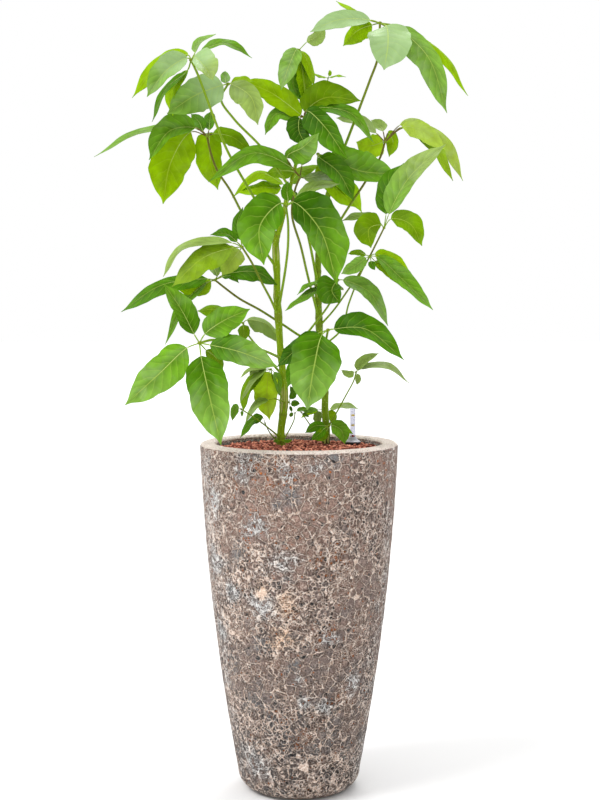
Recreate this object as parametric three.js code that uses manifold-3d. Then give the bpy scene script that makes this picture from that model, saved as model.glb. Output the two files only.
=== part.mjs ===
// A potted umbrella plant: two stems with whorled leaves, standing in granules in a tall glazed planter,
// with a water level gauge. Millimetres, +Z up. The origin is the middle of the planter's foot, on the
// floor, and the plant is seen from -Y.
import * as THREE from "three";
import { mergeVertices } from "three/addons/utils/BufferGeometryUtils.js";
import Module from "manifold-3d";

const wasm = await Module();
wasm.setup();

const GAP = 0.3; // between pieces that touch

// Planter
const PLANTER_HEIGHT = 672;
const RIM_RADIUS = 190;
const MIDDLE_RADIUS = 165.7; // halfway up, so the side bulges a little
const FOOT_CURVE_TOP_RADIUS = 118.3;
const FOOT_CURVE = 35; // radius of the rounded bottom edge
const RIM_ROUNDING = 8;
const INNER_ROUNDING = 6;
const WALL = 30;
const FLOOR = 24;
const INNER_CHAMFER = { width: 26, height: 30 }; // between the inner wall and the floor
const TURNS = 32; // facets round the planter

// What stands in it
const BED_TOP = 661; // the granules end this high
const BED_THICKNESS = 14;
const LINER = { bottom: 430, top: 646, wall: 2.2 }; // the watertight tub in the upper part of the planter
const CULTURE_POT = {
  x: 9, y: 69, top: 645, height: 190, rimRadius: 78, footRadius: 66, wall: 2.2, slots: 8,
};
const SLOT = { depth: 20, width: 4, height: 46, middle: 30 }; // in the culture pot's wall, above its floor
const BED_CLEARANCE = 1.3; // round the top granules
const LINER_CLEARANCE = 1.2; // between the planter and what stands in it
const FILL_CLEARANCE = 0.7; // between loose granules and a thin wall
const POT_ROOM = 0.5; // kept free round the culture pot
// A stem's root cone: radius and distance below the roots' top, from its tip to the stem
const ROOT = { seenAt: 446, below: 2, profile: [[6, -120], [14, -60], [20, -18], [10, 6]], top: -4 };

// Water level gauge
const GAUGE = { x: 106.5, y: 76 };
const GAUGE_SIDES = 16;
const TUBE = { radius: 5.5, wall: 1, bottom: 664.4, top: 731 };
const COLLAR = { radius: 15.8, neck: 6.9, bottom: 664.2, top: 674.2 };
const COLLAR_CURVE = [[15.8, 1.6], [12, 4.2], [8.6, 8]]; // radius and height above the collar's foot
const CASING = { radius: 9, wall: 1.4, floor: 2, drain: 2.5, bottom: 436, flange: 16.2, flangeHeight: 2.6 };
const FLOAT = { radius: 6.4, height: 34 };
const ROD = { radius: 1.3, tipRadius: 2.3, tipBottom: 673.6, top: 678.2 };
const MARKS = { heights: [697.8, 717.6], height: 3.4, thickness: 0.5, halfAngle: 0.52 };

// The sight lines of the view that the plant's places are given in: across and down are places in a picture
// 600 wide and 800 high, and depth is millimetres behind the planter's axis (less than 0 is nearer the eye).
const EYE = new THREE.Vector3(2, -2700, 940);
const LOOKS_DOWN = THREE.MathUtils.degToRad(3.97);
const FOCAL_LENGTH = 1408;
const PICTURE_MIDDLE = [300, 400];

const ahead = new THREE.Vector3(0, Math.cos(LOOKS_DOWN), -Math.sin(LOOKS_DOWN));
const upward = new THREE.Vector3(0, Math.sin(LOOKS_DOWN), Math.cos(LOOKS_DOWN));

function seen(across, down, depth) {
  const sight = ahead.clone().multiplyScalar(FOCAL_LENGTH);
  sight.addScaledVector(upward, PICTURE_MIDDLE[1] - down);
  sight.x += across - PICTURE_MIDDLE[0];
  return EYE.clone().addScaledVector(sight, (depth - EYE.y) / sight.y);
}

// Stems: across, down, depth and diameter at points from the granules to the top
const STEMS = {
  left: [
    [281, 449, 54, 17], [281, 440, 54, 16], [281, 430, 54, 14.5], [283, 415, 53, 15.5], [284, 400, 52, 17],
    [284, 385, 51, 15], [282, 365, 50, 13.5], [280, 345, 48, 13.5], [278, 310, 44, 14.5], [277, 297, 42, 14],
    [277, 275, 39, 13], [276, 255, 36, 15], [276, 240, 32, 12.5], [281, 225, 27, 8.5], [286, 205, 20, 7.5],
    [292, 180, 10, 7], [299, 150, 0, 6.5], [303, 127, -6, 6],
  ],
  right: [
    [326, 447, 84, 16], [326, 438, 84, 15.5], [326, 425, 84, 14.5], [325, 410, 83, 14], [325, 390, 81, 13.5],
    [322, 365, 79, 13.5], [320, 345, 76, 14], [319, 320, 73, 13.5], [318, 290, 70, 13], [318, 265, 66, 12.5],
    [320, 240, 60, 12], [323, 215, 52, 11.5], [328, 195, 45, 11], [333, 180, 36, 9], [336, 167, 25, 7.5],
  ],
};

// Leaves. hub: where the leaflets meet. stalk: points from the hub towards the stem, then joins: the stem
// and the height in the picture where the stalk meets it. leaflets: the blade's base, middle and tip in the
// picture, how much further back than the hub its tip is, and how wide the blade is seen on its right and
// its left, as one looks from the base to the tip.
const LEAVES = {
  leaf_top_left: {
    hub: [191, 60, -120], stalk: [[198, 75, -118], [214, 118, -85], [228, 152, -35], [246, 184, -8]],
    joins: ["left", 236], thickness: 4.4,
    leaflets: [
      [195, 53, 199, 43, 216, 34, 60, 4, 4.5], [201, 51, 226, 44, 252, 58, 30, 4, 5.5],
      [194, 57, 204, 66, 213, 80, -70, 7.5, 11], [187, 58, 166, 71, 147, 97, -45, 13, 10],
      [188, 55, 160, 63, 132, 98, 45, 10, 9], [187, 71, 166, 89, 152, 122, 10, 4, 4.5],
      [188, 70, 172, 92, 173, 116, 12, 8, 4],
    ],
  },
  leaf_upper_left: {
    hub: [228, 84, -60],
    stalk: [
      [221, 99, -58], [234, 119, -50], [262, 148, -34], [286, 182, -30], [300, 205, -8], [309, 240, 34],
    ],
    joins: ["right", 286], thickness: 4.4,
    leaflets: [
      [223, 85, 196, 95, 167, 114, -40, 16, 13], [231, 84, 251, 97, 258, 125, -60, 12.5, 9.5],
      [226, 83, 225, 77, 225, 71, 60, 4.5, 4.5], [231, 83, 242, 79, 254, 82, 15, 3, 4],
    ],
  },
  leaf_left_upper: {
    hub: [207, 136, 0],
    stalk: [[210, 150, 4], [217, 170, 10], [230, 190, 14], [242, 213, 20], [260, 244, 30]],
    joins: ["left", 268], thickness: 4.2,
    leaflets: [
      [195, 128, 170, 131, 149, 160, -45, 14, 9], [194, 127, 140, 131, 94, 157, -10, 4, 3.5],
      [191, 132, 171, 162, 163, 204, 30, 21, 19], [209, 133, 210, 158, 218, 190, 50, 14, 12],
      [213, 134, 232, 137, 252, 153, 20, 8, 9], [209, 130, 210, 120, 211, 111, 55, 6, 6],
      [203, 131, 199, 122, 191, 114, 40, 6, 6],
    ],
  },
  leaf_centre_upper: {
    hub: [300, 177, -20], stalk: [[295, 190, -4], [292, 215, 12], [301, 247, 25], [308, 277, 45]],
    joins: ["right", 318], thickness: 4.2,
    leaflets: [
      [292, 168, 254, 153, 208, 182, -55, 7, 7], [287, 158, 303, 147, 319, 133, -105, 15, 6],
      [304, 178, 322, 176, 345, 178, 30, 4, 4], [294, 172, 280, 171, 266, 173, 60, 7, 7],
      [302, 165, 306, 150, 309, 134, 60, 8, 8],
    ],
  },
  leaf_centre_front: {
    hub: [286, 206, -110], stalk: [[288, 222, -85], [288, 245, -50], [285, 272, -5]],
    joins: ["left", 312], thickness: 4.4,
    leaflets: [
      [281, 203, 260, 226, 264, 265, -40, 22, 17], [293, 202, 320, 230, 337, 285, -50, 15, 23],
      [288, 201, 287, 192, 288, 181, 10, 5.5, 6], [281, 203, 270, 197, 259, 196, 10, 4, 4],
      [296, 201, 313, 186, 340, 184, 60, 3.5, 3],
    ],
  },
  leaf_back_centre: {
    hub: [287, 187, 90], stalk: [[284, 205, 80], [279, 225, 52]],
    joins: ["left", 240], thickness: 3.8,
    leaflets: [
      [281, 188, 262, 188, 238, 193, 20, 8, 6], [283, 184, 258, 173, 232, 198, 30, 4, 6],
      [291, 183, 300, 172, 320, 165, 60, 6, 6], [290, 192, 296, 200, 300, 213, 20, 5, 5],
    ],
  },
  leaf_right_centre: {
    hub: [318, 154, 10], stalk: [[325, 160, 20]],
    joins: ["right", 169], thickness: 4.2,
    leaflets: [
      [319, 157, 338, 172, 354, 201, -50, 12, 11], [328, 157, 360, 171, 397, 174, -20, 12, 19],
      [318, 165, 338, 190, 357, 208, 60, 9, 9], [330, 168, 350, 188, 362, 213, 85, 8, 8],
    ],
  },
  leaf_crown: {
    hub: [304, 117, -10], stalk: [],
    joins: ["left", 129], thickness: 4.2,
    leaflets: [
      [301, 115, 273, 94, 241, 80, -10, 12, 12], [299, 116, 276, 114, 265, 135, -20, 5, 4],
      [307, 111, 325, 127, 347, 159, -70, 13, 10], [300, 118, 299, 131, 306, 145, -45, 12, 11],
      [305, 112, 325, 98, 361, 101, 20, 8.5, 14], [306, 112, 325, 108, 345, 112, 45, 4, 4],
      [312, 109, 350, 113, 374, 143, 0, 5.5, 5],
    ],
  },
  leaf_top_centre: {
    hub: [299, 50, 10], stalk: [[303, 75, 12], [306, 100, 12], [307, 120, 8]],
    joins: ["left", 144], thickness: 3.4,
    leaflets: [
      [297, 49, 289, 66, 281, 90, -50, 9, 10.5], [301, 51, 309, 65, 314, 86, 0, 5, 5],
      [300, 54, 306, 78, 303, 101, 20, 8, 8], [298, 56, 293, 84, 301, 101, 20, 7, 7],
      [307, 42, 316, 37, 325, 27, 20, 8.5, 5],
    ],
  },
  young_shoot: {
    hub: [328, 78, 30], stalk: [[326, 95, 40], [318, 115, 42], [311, 138, 28]],
    joins: ["left", 156], thickness: 2,
    leaflets: [
      [326, 77.5, 318, 75, 310, 72, 20, 1.6, 1.6], [330, 77.5, 338, 75.5, 346, 77, 10, 1.3, 1.3],
      [329, 76, 330, 73, 329.5, 70, -5, 1.8, 1.8],
    ],
  },
  leaf_top_right: {
    hub: [380, 23, -20], stalk: [[378, 57, -10], [370, 80, 10], [358, 112, 32], [348, 138, 32]],
    joins: ["right", 172], thickness: 4.6,
    leaflets: [
      [369, 20, 353, 9, 336, 1, 30, 3.5, 3.5], [370, 20, 338, 20, 310, 32, -15, 9, 10],
      [386, 26, 388, 43, 384, 70, -80, 20, 23], [372, 25, 357, 31, 343, 46, 50, 8, 11],
      [396, 28, 428, 57, 447, 113, -30, 13, 14], [396, 26, 441, 52, 468, 96, 30, 6, 4.5],
      [392, 31, 404, 43, 416, 58, 60, 6, 6],
    ],
  },
  leaf_right_upper: {
    hub: [385, 142, 30], stalk: [[380, 158, 30], [364, 184, 24], [350, 205, 26], [338, 224, 40]],
    joins: ["right", 255], thickness: 4.2,
    leaflets: [
      [383, 142, 370, 146, 356, 142, 30, 11, 12], [388, 133, 393, 142, 389, 157, 40, 7, 6],
      [376, 133, 358, 120, 336, 118, 40, 4, 4], [383, 131, 380, 126, 371, 120, 50, 4, 4],
      [400, 125, 417, 120, 436, 133, 20, 6, 4], [402, 127, 424, 132, 445, 150, -15, 9, 8],
      [404, 128, 432, 142, 453, 181, 10, 6, 6], [404, 127, 442, 140, 463, 181, 40, 5.5, 6],
    ],
  },
  leaf_right_middle: {
    hub: [384, 228, -60], stalk: [[378, 240, -50], [366, 263, -25], [348, 290, 20], [333, 311, 56]],
    joins: ["right", 326], thickness: 3.4,
    leaflets: [
      [389, 214, 409, 178, 446, 144, -30, 11, 12], [386, 214, 388, 188, 404, 163, 25, 8, 10],
      [391, 219, 410, 224, 422, 246, -30, 8, 9], [381, 225, 369, 229, 371, 248, -50, 13, 9],
      [379, 222, 362, 217, 341, 221, 25, 4, 4],
    ],
  },
  leaf_left_middle: {
    hub: [242, 247, -40], stalk: [[252, 263, -30], [262, 283, -5], [271, 300, 20]],
    joins: ["left", 318], thickness: 4.2,
    leaflets: [
      [232, 243, 183, 249, 163, 277, -20, 3, 3], [232, 248, 203, 258, 172, 287, -30, 9, 14],
      [240, 250, 232, 260, 222, 276, 25, 12, 10], [237, 242, 226, 232, 210, 235, 30, 7, 4],
      [241, 240, 236, 225, 243, 207, 30, 7, 7],
    ],
  },
  leaf_left_back: {
    hub: [215, 280, 0],
    stalk: [[225, 288, 10], [240, 299, 26], [260, 310, 48], [282, 324, 66], [302, 337, 74]],
    joins: ["right", 345], thickness: 4.2,
    leaflets: [
      [217, 276, 212, 264, 208, 253, 40, 5.5, 5], [220, 272, 228, 265, 239, 257, 30, 4, 4],
      [224, 275, 256, 272, 277, 285, 30, 10, 6], [222, 277, 231, 276, 239, 283, -30, 4, 3],
      [207, 279, 162, 285, 121, 312, -10, 7, 8], [207, 283, 186, 301, 165, 345, 20, 5, 6],
      [211, 281, 196, 285, 172, 284, 15, 6, 11],
    ],
  },
  leaf_front_low_left: {
    hub: [199.5, 343, -190], stalk: [[212, 340, -175], [240, 345, -110], [262, 350, -30]],
    joins: ["left", 358], thickness: 4.6,
    leaflets: [
      [194, 334, 182, 311, 164, 284, 20, 12, 8.5], [205, 334, 223, 321, 250, 309, -10, 12, 12],
      [187, 348, 160, 373, 125, 405, -20, 17, 17], [210, 345, 240, 352, 278, 367, -40, 13, 14],
      [201, 356, 209, 394, 221, 445, -40, 19, 22], [206, 350, 216, 358, 222, 375, 45, 5, 6],
    ],
  },
  leaf_low_back_left: {
    hub: [243, 323, 60], stalk: [[247, 333, 62], [262, 352, 60]],
    joins: ["left", 376], thickness: 3.4,
    leaflets: [
      [247, 320, 266, 324, 283, 344, 20, 6, 6], [243, 325, 244, 332, 243, 341, -10, 6, 6],
      [238, 322, 216, 310, 197, 311, 30, 6, 8],
    ],
  },
  leaf_front_low_centre: {
    hub: [328, 330, -120], stalk: [[326, 340, -90], [323, 348, -10]],
    joins: ["right", 356], thickness: 4.4,
    leaflets: [
      [322, 335, 314, 367, 307, 410, -45, 25, 25], [334, 329, 365, 329, 404, 360, -25, 11, 12],
      [319, 333, 297, 349, 277, 367, 20, 8, 9], [320, 336, 299, 362, 287, 388, 40, 8, 8],
    ],
  },
  leaf_middle_right: {
    hub: [338, 280, -30], stalk: [[331, 301, -15], [316, 322, 10], [304, 336, 25]],
    joins: ["left", 352], thickness: 3.8,
    leaflets: [
      [336, 282, 332, 291, 340, 303, -40, 16, 11], [330, 284, 305, 296, 285, 311, 0, 3, 4],
      [328, 281, 308, 287, 297, 295, 12, 2, 2], [343, 280, 369, 292, 388, 326, -25, 7, 9],
    ],
  },
  leaf_right_low: {
    hub: [370, 256, -50], stalk: [[360, 275, -8], [349, 303, 10], [341, 330, 50]],
    joins: ["right", 348], thickness: 3.2,
    leaflets: [
      [375, 254, 394, 261, 411, 277, 20, 9, 8], [377, 257, 403, 280, 433, 310, -30, 8, 9],
      [375, 262, 389, 277, 407, 301, 25, 6, 7], [371, 261, 372, 265, 375, 270, -15, 3.5, 3.5],
      [366, 258, 355, 266, 341, 274, 0, 4, 4.5], [366, 255, 357, 252, 348, 254, 30, 3, 3],
    ],
  },
  leaf_low_right: {
    hub: [356, 372, 20], stalk: [[354, 380, 25], [345, 397, 45], [338, 410, 62]],
    joins: ["right", 430], thickness: 2.6,
    leaflets: [
      [357, 370, 363, 362, 379, 353, 0, 4, 5], [361, 369, 385, 365, 409, 383, -10, 3, 3],
      [354, 372, 349, 373, 341, 370, 10, 2, 5], [357, 374, 358, 379, 357, 385, 0, 3, 3],
    ],
  },
  leaf_behind_right_stem: {
    hub: [324, 409, 125], stalk: [[325, 415, 110]],
    joins: ["right", 426], thickness: 2.6,
    leaflets: [
      [330, 409, 344, 406, 359, 409, 0, 2.5, 2.5], [318, 410, 310, 411, 301, 418, 0, 3, 3],
      [321, 412, 318, 417, 319, 425, 0, 5, 4], [328, 411, 333, 416, 332, 425, 0, 5, 4],
    ],
  },
  leaf_foot_right: {
    hub: [329, 426, 50], stalk: [],
    joins: ["right", 434], thickness: 3.4,
    leaflets: [
      [331, 425, 341, 430, 345, 444, -15, 8, 8], [325, 426, 315, 426, 305, 433, -15, 4, 6],
      [325, 428, 319, 434, 311, 440, -25, 4, 5], [333, 424, 345, 428, 353, 434, 10, 3, 3],
      [327, 430, 325, 436, 321, 443, -22, 6, 6],
    ],
  },
  leaf_low_left: {
    hub: [271, 369, 10], stalk: [[272, 376, 14], [277, 388, 30]],
    joins: ["left", 402], thickness: 2.6,
    leaflets: [
      [266, 369, 252, 370, 240, 378, 0, 1.7, 1.7], [267, 369, 253, 382, 240, 403, -20, 2.5, 2.5],
      [269, 372, 267, 393, 269.5, 420, 24, 14, 11], [264, 369, 257, 369, 251, 382, 20, 6, 5],
      [264, 372, 247, 388, 243, 412, 15, 6, 5], [274, 372, 277, 380, 279, 396, 20, 4, 4],
    ],
  },
  leaf_foot_left: {
    hub: [241, 409, -30], stalk: [[252, 416, -25], [262, 423, -5]],
    joins: ["left", 438], thickness: 2.6,
    leaflets: [
      [239, 408, 236, 409, 232, 421, 5, 5, 4], [242, 411, 242, 413, 242, 417, 0, 1.5, 1.5],
    ],
  },
  sprout_arching_left: {
    hub: [275, 398.5, 4], stalk: [],
    joins: ["left", 402], thickness: 2.4,
    leaflets: [[268, 400, 256, 405, 245, 424, -15, 3, 3.5]],
  },
  sprout_dark_left: {
    hub: [265, 423, 20], stalk: [[270, 433, 36]],
    joins: ["left", 444], thickness: 2.2,
    leaflets: [[263, 418, 253, 421, 240, 438, -15, 4, 4]],
  },
  sprout_between_high: {
    hub: [289, 402, 52], stalk: [],
    joins: ["left", 406], thickness: 2.4,
    leaflets: [
      [290, 399, 293, 393, 290, 386, 5, 4, 3], [291, 404, 295, 403, 300, 404, 5, 3.5, 3],
      [290, 406, 291, 409, 292, 412, 0, 1.5, 1.5],
    ],
  },
  sprout_between_low: {
    hub: [295, 413, 60], stalk: [[294, 420, 58], [287, 434, 56]],
    joins: ["left", 443], thickness: 2.2,
    leaflets: [[297, 411, 302, 409, 308, 409, 5, 2, 2], [293, 413, 291, 415, 290, 417, 0, 2, 2]],
  },
  sprout_to_right_stem: {
    hub: [301, 412, 80], stalk: [[306, 419, 82], [313, 428, 84]],
    joins: ["right", 436], thickness: 2.2,
    leaflets: [[303, 411, 310, 410, 319, 410, -25, 3, 2.5], [303, 413, 306, 415, 309, 417, 5, 1.5, 1.5]],
  },
  sprout_on_granules: {
    hub: [281, 441, 38], stalk: [],
    joins: ["left", 442], thickness: 2.2,
    leaflets: [[278, 441, 276, 441, 273, 441, 0, 1.5, 1.5], [284, 441, 288, 441, 292, 440, -5, 2, 1.5]],
  },
};

const STEM_SIDES = 8;
const ROOT_SIDES = 10;
const STEM_STEPS = 20;
const STALK_SIDES = 4;
const STALK_STEP = 42; // length of one straight piece of a leaf's stalk
const STALK_TAPER = 0.25; // how much thicker a leaf's stalk is at the stem
const HUB_RADIUS = 3.6;
// Along a leaflet: its stalk, then how far along the blade each ring is and how much of the width it has.
const BLADE_RINGS = [[0, 0.06], [0.13, 0.66], [0.36, 0.99], [0.64, 0.89], [0.88, 0.44], [1, 0]];
const SHORT_STALK = 1.3; // half the thickness of a leaflet's own stalk
const STALK_RINGS = 3; // the first rings of a leaflet are round its own stalk
const BLADE_STARTS = 1 / 3; // share of a leaflet's midrib line that is its own stalk
const BLADE_HALF_THICKNESS = 1;
const BEND_SHARE = [0.18, 0.62, 1]; // how much of its depth a leaflet has reached at base, middle and tip
const HALF_WIDTH_SHARE = 0.22; // of a leaflet's length: what isn't seen of it goes into depth
const DEEPEST_TURN = 13;

function asSolid(geometry) {
  const bare = geometry.clone();
  bare.deleteAttribute("normal");
  bare.deleteAttribute("uv");
  const merged = mergeVertices(bare, 1e-3);
  return new wasm.Manifold(
    new wasm.Mesh({
      numProp: 3,
      vertProperties: merged.attributes.position.array,
      triVerts: new Uint32Array(merged.index.array),
    }),
  );
}

function asGeometry(solid) {
  const mesh = solid.getMesh();
  const geometry = new THREE.BufferGeometry();
  geometry.setAttribute("position", new THREE.BufferAttribute(mesh.vertProperties, 3));
  geometry.setIndex(new THREE.BufferAttribute(mesh.triVerts, 1));
  geometry.computeVertexNormals();
  return geometry;
}

function piece(name, geometry, colour, roughness) {
  const material = new THREE.MeshStandardMaterial({ color: colour, roughness });
  const mesh = new THREE.Mesh(geometry, material);
  mesh.name = name;
  return mesh;
}

function arc(x, y, radius, from, to, steps) {
  return Array.from({ length: steps + 1 }, (_, i) => {
    const angle = THREE.MathUtils.degToRad(from + ((to - from) * i) / steps);
    return new THREE.Vector2(x + radius * Math.cos(angle), y + radius * Math.sin(angle));
  });
}

function turned(profile, turns, x = 0, y = 0) {
  const points = profile.map((p) => (p.isVector2 ? p : new THREE.Vector2(...p)));
  return new THREE.LatheGeometry(points, turns).rotateX(Math.PI / 2).translate(x, y, 0);
}

function cylinder(radius, bottom, top, sides, x = 0, y = 0) {
  return turned([[0, bottom], [radius, bottom], [radius, top], [0, top]], sides, x, y);
}

// A round bar along a curve, with its own radius at each step, lengthened past each end.
function bar(curve, radiusAt, sides, steps, past = 0) {
  const geometry = new THREE.CylinderGeometry(1, 1, 1, sides, steps);
  const frames = curve.computeFrenetFrames(steps, false);
  const place = geometry.attributes.position;
  for (let i = 0; i < place.count; i++) {
    const step = Math.round((place.getY(i) + 0.5) * steps);
    const radius = radiusAt(step / steps);
    const point = curve.getPointAt(step / steps);
    const end = step === 0 ? -past : past;
    point.addScaledVector(frames.tangents[step], step % steps === 0 ? end : 0);
    point.addScaledVector(frames.normals[step], place.getX(i) * radius);
    point.addScaledVector(frames.binormals[step], -place.getZ(i) * radius);
    place.setXYZ(i, point.x, point.y, point.z);
  }
  return geometry;
}

const stemCurves = {};
for (const side in STEMS) {
  const places = STEMS[side].map(([across, down, depth]) => seen(across, down, depth));
  stemCurves[side] = new THREE.CatmullRomCurve3(places);
}

function stemRadius(side, share) {
  const places = STEMS[side].length - 1;
  const at = Math.min(share * places, places - 1e-9);
  const low = Math.floor(at);
  return THREE.MathUtils.lerp(STEMS[side][low][3], STEMS[side][low + 1][3], at - low) / 2;
}

// A stem, thicker all round by grown.
function stemBar(side, grown) {
  const curve = stemCurves[side];
  const even = (share) => stemRadius(side, curve.getUtoTmapping(share));
  return asSolid(bar(curve, (share) => even(share) + grown, STEM_SIDES, STEM_STEPS, grown));
}

// The point of a stem's middle line that is seen at this height in the picture.
function onStem(side, down) {
  const places = STEMS[side];
  const next = places.findIndex((p) => p[1] <= down);
  const share = (places[next - 1][1] - down) / (places[next - 1][1] - places[next][1]);
  return stemCurves[side].getPoint((next - 1 + share) / (places.length - 1));
}

function root(side, grown) {
  const foot = onStem(side, ROOT.seenAt);
  const top = BED_TOP - BED_THICKNESS - ROOT.below;
  const [tip, ...upper] = ROOT.profile.map(([radius, height]) => [radius + grown, top + height]);
  tip[1] -= grown;
  upper[upper.length - 1][1] += grown;
  const profile = [[0, tip[1]], tip, ...upper, [0, BED_TOP + ROOT.top + grown]];
  return asSolid(turned(profile, ROOT_SIDES, foot.x, foot.y));
}

// How far a blade's edge reaches from the midrib at its widest: sideways as seen, and in depth.
function edgeReach(seenHalfWidth, scale, length, goesUp) {
  const sideways = seenHalfWidth * scale;
  const hidden = Math.sqrt(Math.max(0, (HALF_WIDTH_SHARE * length) ** 2 - sideways ** 2));
  return { sideways, depth: Math.min(hidden, DEEPEST_TURN) * (goesUp ? 1 : -1) };
}

function leafletBlade(hub, [baseU, baseV, middleU, middleV, tipU, tipV, deeper, right, left]) {
  const [baseDepth, middleDepth, tipDepth] = BEND_SHARE.map((share) => hub.depth + share * deeper);
  const base = seen(baseU, baseV, baseDepth);
  const tip = seen(tipU, tipV, tipDepth);
  const midrib = new THREE.CatmullRomCurve3([hub.place, base, seen(middleU, middleV, middleDepth), tip]);
  const length = base.distanceTo(tip);
  const scale = (middleDepth - EYE.y) / FOCAL_LENGTH;
  const rightEdge = edgeReach(right, scale, length, tipU < baseU);
  const leftEdge = edgeReach(left, scale, length, tipU >= baseU);
  // Rings: the hub's end, then those of the blade.
  const onMidrib = (along) => BLADE_STARTS + along * (1 - BLADE_STARTS);
  const rings = [[0, 0], ...BLADE_RINGS.map(([along, wide]) => [onMidrib(along), wide])];
  const geometry = new THREE.SphereGeometry(1, 4, rings.length - 1);
  const place = geometry.attributes.position;
  for (let i = 0; i < place.count; i++) {
    const [x, y, z] = [place.getX(i), place.getY(i), place.getZ(i)];
    const ring = Math.round((Math.acos(THREE.MathUtils.clamp(y, -1, 1)) / Math.PI) * (rings.length - 1));
    const [share, wide] = rings[ring];
    const along = midrib.getTangent(share);
    const toRight = new THREE.Vector3(along.z, 0, -along.x).normalize();
    const edge = x > 0 ? rightEdge : leftEdge;
    const turn = Math.atan2(rightEdge.depth - leftEdge.depth, rightEdge.sideways + leftEdge.sideways);
    const across = toRight.clone().multiplyScalar(Math.cos(turn)).addScaledVector(ahead, Math.sin(turn));
    const above = across.clone().cross(along).normalize();
    const isEnd = ring === 0 || ring === rings.length - 1;
    const round = isEnd ? 0 : 1 / Math.hypot(x, z);
    const point = midrib.getPoint(share);
    const sideways = x * round * Math.max(edge.sideways * wide, SHORT_STALK);
    point.addScaledVector(toRight, sideways);
    point.y += Math.abs(x * round) * edge.depth * wide;
    point.addScaledVector(above, z * round * (ring < STALK_RINGS ? SHORT_STALK : BLADE_HALF_THICKNESS));
    place.setXYZ(i, point.x, point.y, point.z);
  }
  const solid = asSolid(geometry);
  return solid.volume() < 0 ? asSolid(turnedInsideOut(geometry)) : solid;
}

function turnedInsideOut(geometry) {
  const index = geometry.index.array;
  for (let i = 0; i < index.length; i += 3) {
    [index[i + 1], index[i + 2]] = [index[i + 2], index[i + 1]];
  }
  return geometry;
}

function leaf({ hub, stalk, joins, thickness, leaflets }) {
  const place = seen(...hub);
  const foot = onStem(...joins);
  const curve = new THREE.CatmullRomCurve3([foot, ...stalk.map((p) => seen(...p)).reverse(), place]);
  const steps = Math.ceil(curve.getLength() / STALK_STEP) + 1;
  const stalkRadius = (share) => (thickness / 2) * (1 + STALK_TAPER * (1 - share));
  let whole = asSolid(bar(curve, stalkRadius, STALK_SIDES, steps));
  const knob = new THREE.OctahedronGeometry(Math.min(HUB_RADIUS, thickness), 0);
  whole = whole.add(asSolid(knob.translate(place.x, place.y, place.z)));
  for (const leaflet of leaflets) {
    whole = whole.add(leafletBlade({ place, depth: hub[2] }, leaflet));
  }
  return whole;
}

function largest(solid) {
  return solid.decompose().reduce((a, b) => (a.volume() > b.volume() ? a : b));
}

// Planter
const sideTop = PLANTER_HEIGHT - RIM_ROUNDING;

function outerRadius(height) {
  const share = (height - FOOT_CURVE) / (sideTop - FOOT_CURVE);
  const straight = THREE.MathUtils.lerp(FOOT_CURVE_TOP_RADIUS, RIM_RADIUS, share);
  const bulge = MIDDLE_RADIUS - (FOOT_CURVE_TOP_RADIUS + RIM_RADIUS) / 2;
  return straight + 4 * bulge * share * (1 - share);
}

function innerRadius(height) {
  return outerRadius(height) - WALL;
}

const SIDE_STEPS = 6;
const sideHeights = Array.from({ length: SIDE_STEPS + 1 }, (_, i) =>
  THREE.MathUtils.lerp(FOOT_CURVE, sideTop, i / SIDE_STEPS),
);
const chamferTop = FLOOR + INNER_CHAMFER.height;
const innerHeights = sideHeights.filter((z) => z > chamferTop && z < sideTop - WALL);
const footCentre = FOOT_CURVE_TOP_RADIUS - FOOT_CURVE;
const innerTop = innerRadius(PLANTER_HEIGHT - INNER_ROUNDING);

const planterProfile = [
  [0, 0],
  ...arc(footCentre, FOOT_CURVE, FOOT_CURVE, -90, 0, 5),
  ...sideHeights.slice(1).map((z) => [outerRadius(z), z]),
  ...arc(RIM_RADIUS - RIM_ROUNDING, sideTop, RIM_ROUNDING, 30, 90, 2),
  ...arc(innerTop + INNER_ROUNDING, PLANTER_HEIGHT - INNER_ROUNDING, INNER_ROUNDING, 90, 180, 2),
  ...innerHeights.reverse().map((z) => [innerRadius(z), z]),
  [innerRadius(chamferTop), chamferTop],
  [innerRadius(chamferTop) - INNER_CHAMFER.width, FLOOR],
  [0, FLOOR],
];
const planter = turned(planterProfile, TURNS);

// Everything that passes through the granules, thicker all round by a gap
const holeTop = BED_TOP + CASING.flangeHeight;
const gaugeHole = asSolid(
  cylinder(CASING.radius + GAP, CASING.bottom - GAP, holeTop, GAUGE_SIDES, GAUGE.x, GAUGE.y),
);
const stemHoles = Object.keys(STEMS).map((side) => stemBar(side, GAP).add(root(side, GAP)));

const bedBottom = BED_TOP - BED_THICKNESS;
const bedRadius = innerRadius(bedBottom) - BED_CLEARANCE;
let bed = asSolid(cylinder(bedRadius, bedBottom, BED_TOP, TURNS));
bed = bed.subtract(gaugeHole).subtract(stemHoles[0]).subtract(stemHoles[1]);

const pot = CULTURE_POT;
const potBottom = pot.top - pot.height;
const potFloor = potBottom + pot.wall;
let culturePot = asSolid(
  turned(
    [
      [0, potBottom], [pot.footRadius, potBottom], [pot.rimRadius, pot.top],
      [pot.rimRadius - pot.wall, pot.top], [pot.footRadius - pot.wall, potFloor], [0, potFloor],
    ],
    TURNS, pot.x, pot.y,
  ),
);
for (let i = 0; i < pot.slots; i++) {
  const slot = new THREE.BoxGeometry(SLOT.depth, SLOT.width, SLOT.height);
  slot.translate(pot.footRadius + pot.wall, 0, potFloor + SLOT.middle);
  slot.rotateZ(((i + 0.5) / pot.slots) * Math.PI * 2).translate(pot.x, pot.y, 0);
  culturePot = culturePot.subtract(asSolid(slot));
}

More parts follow.
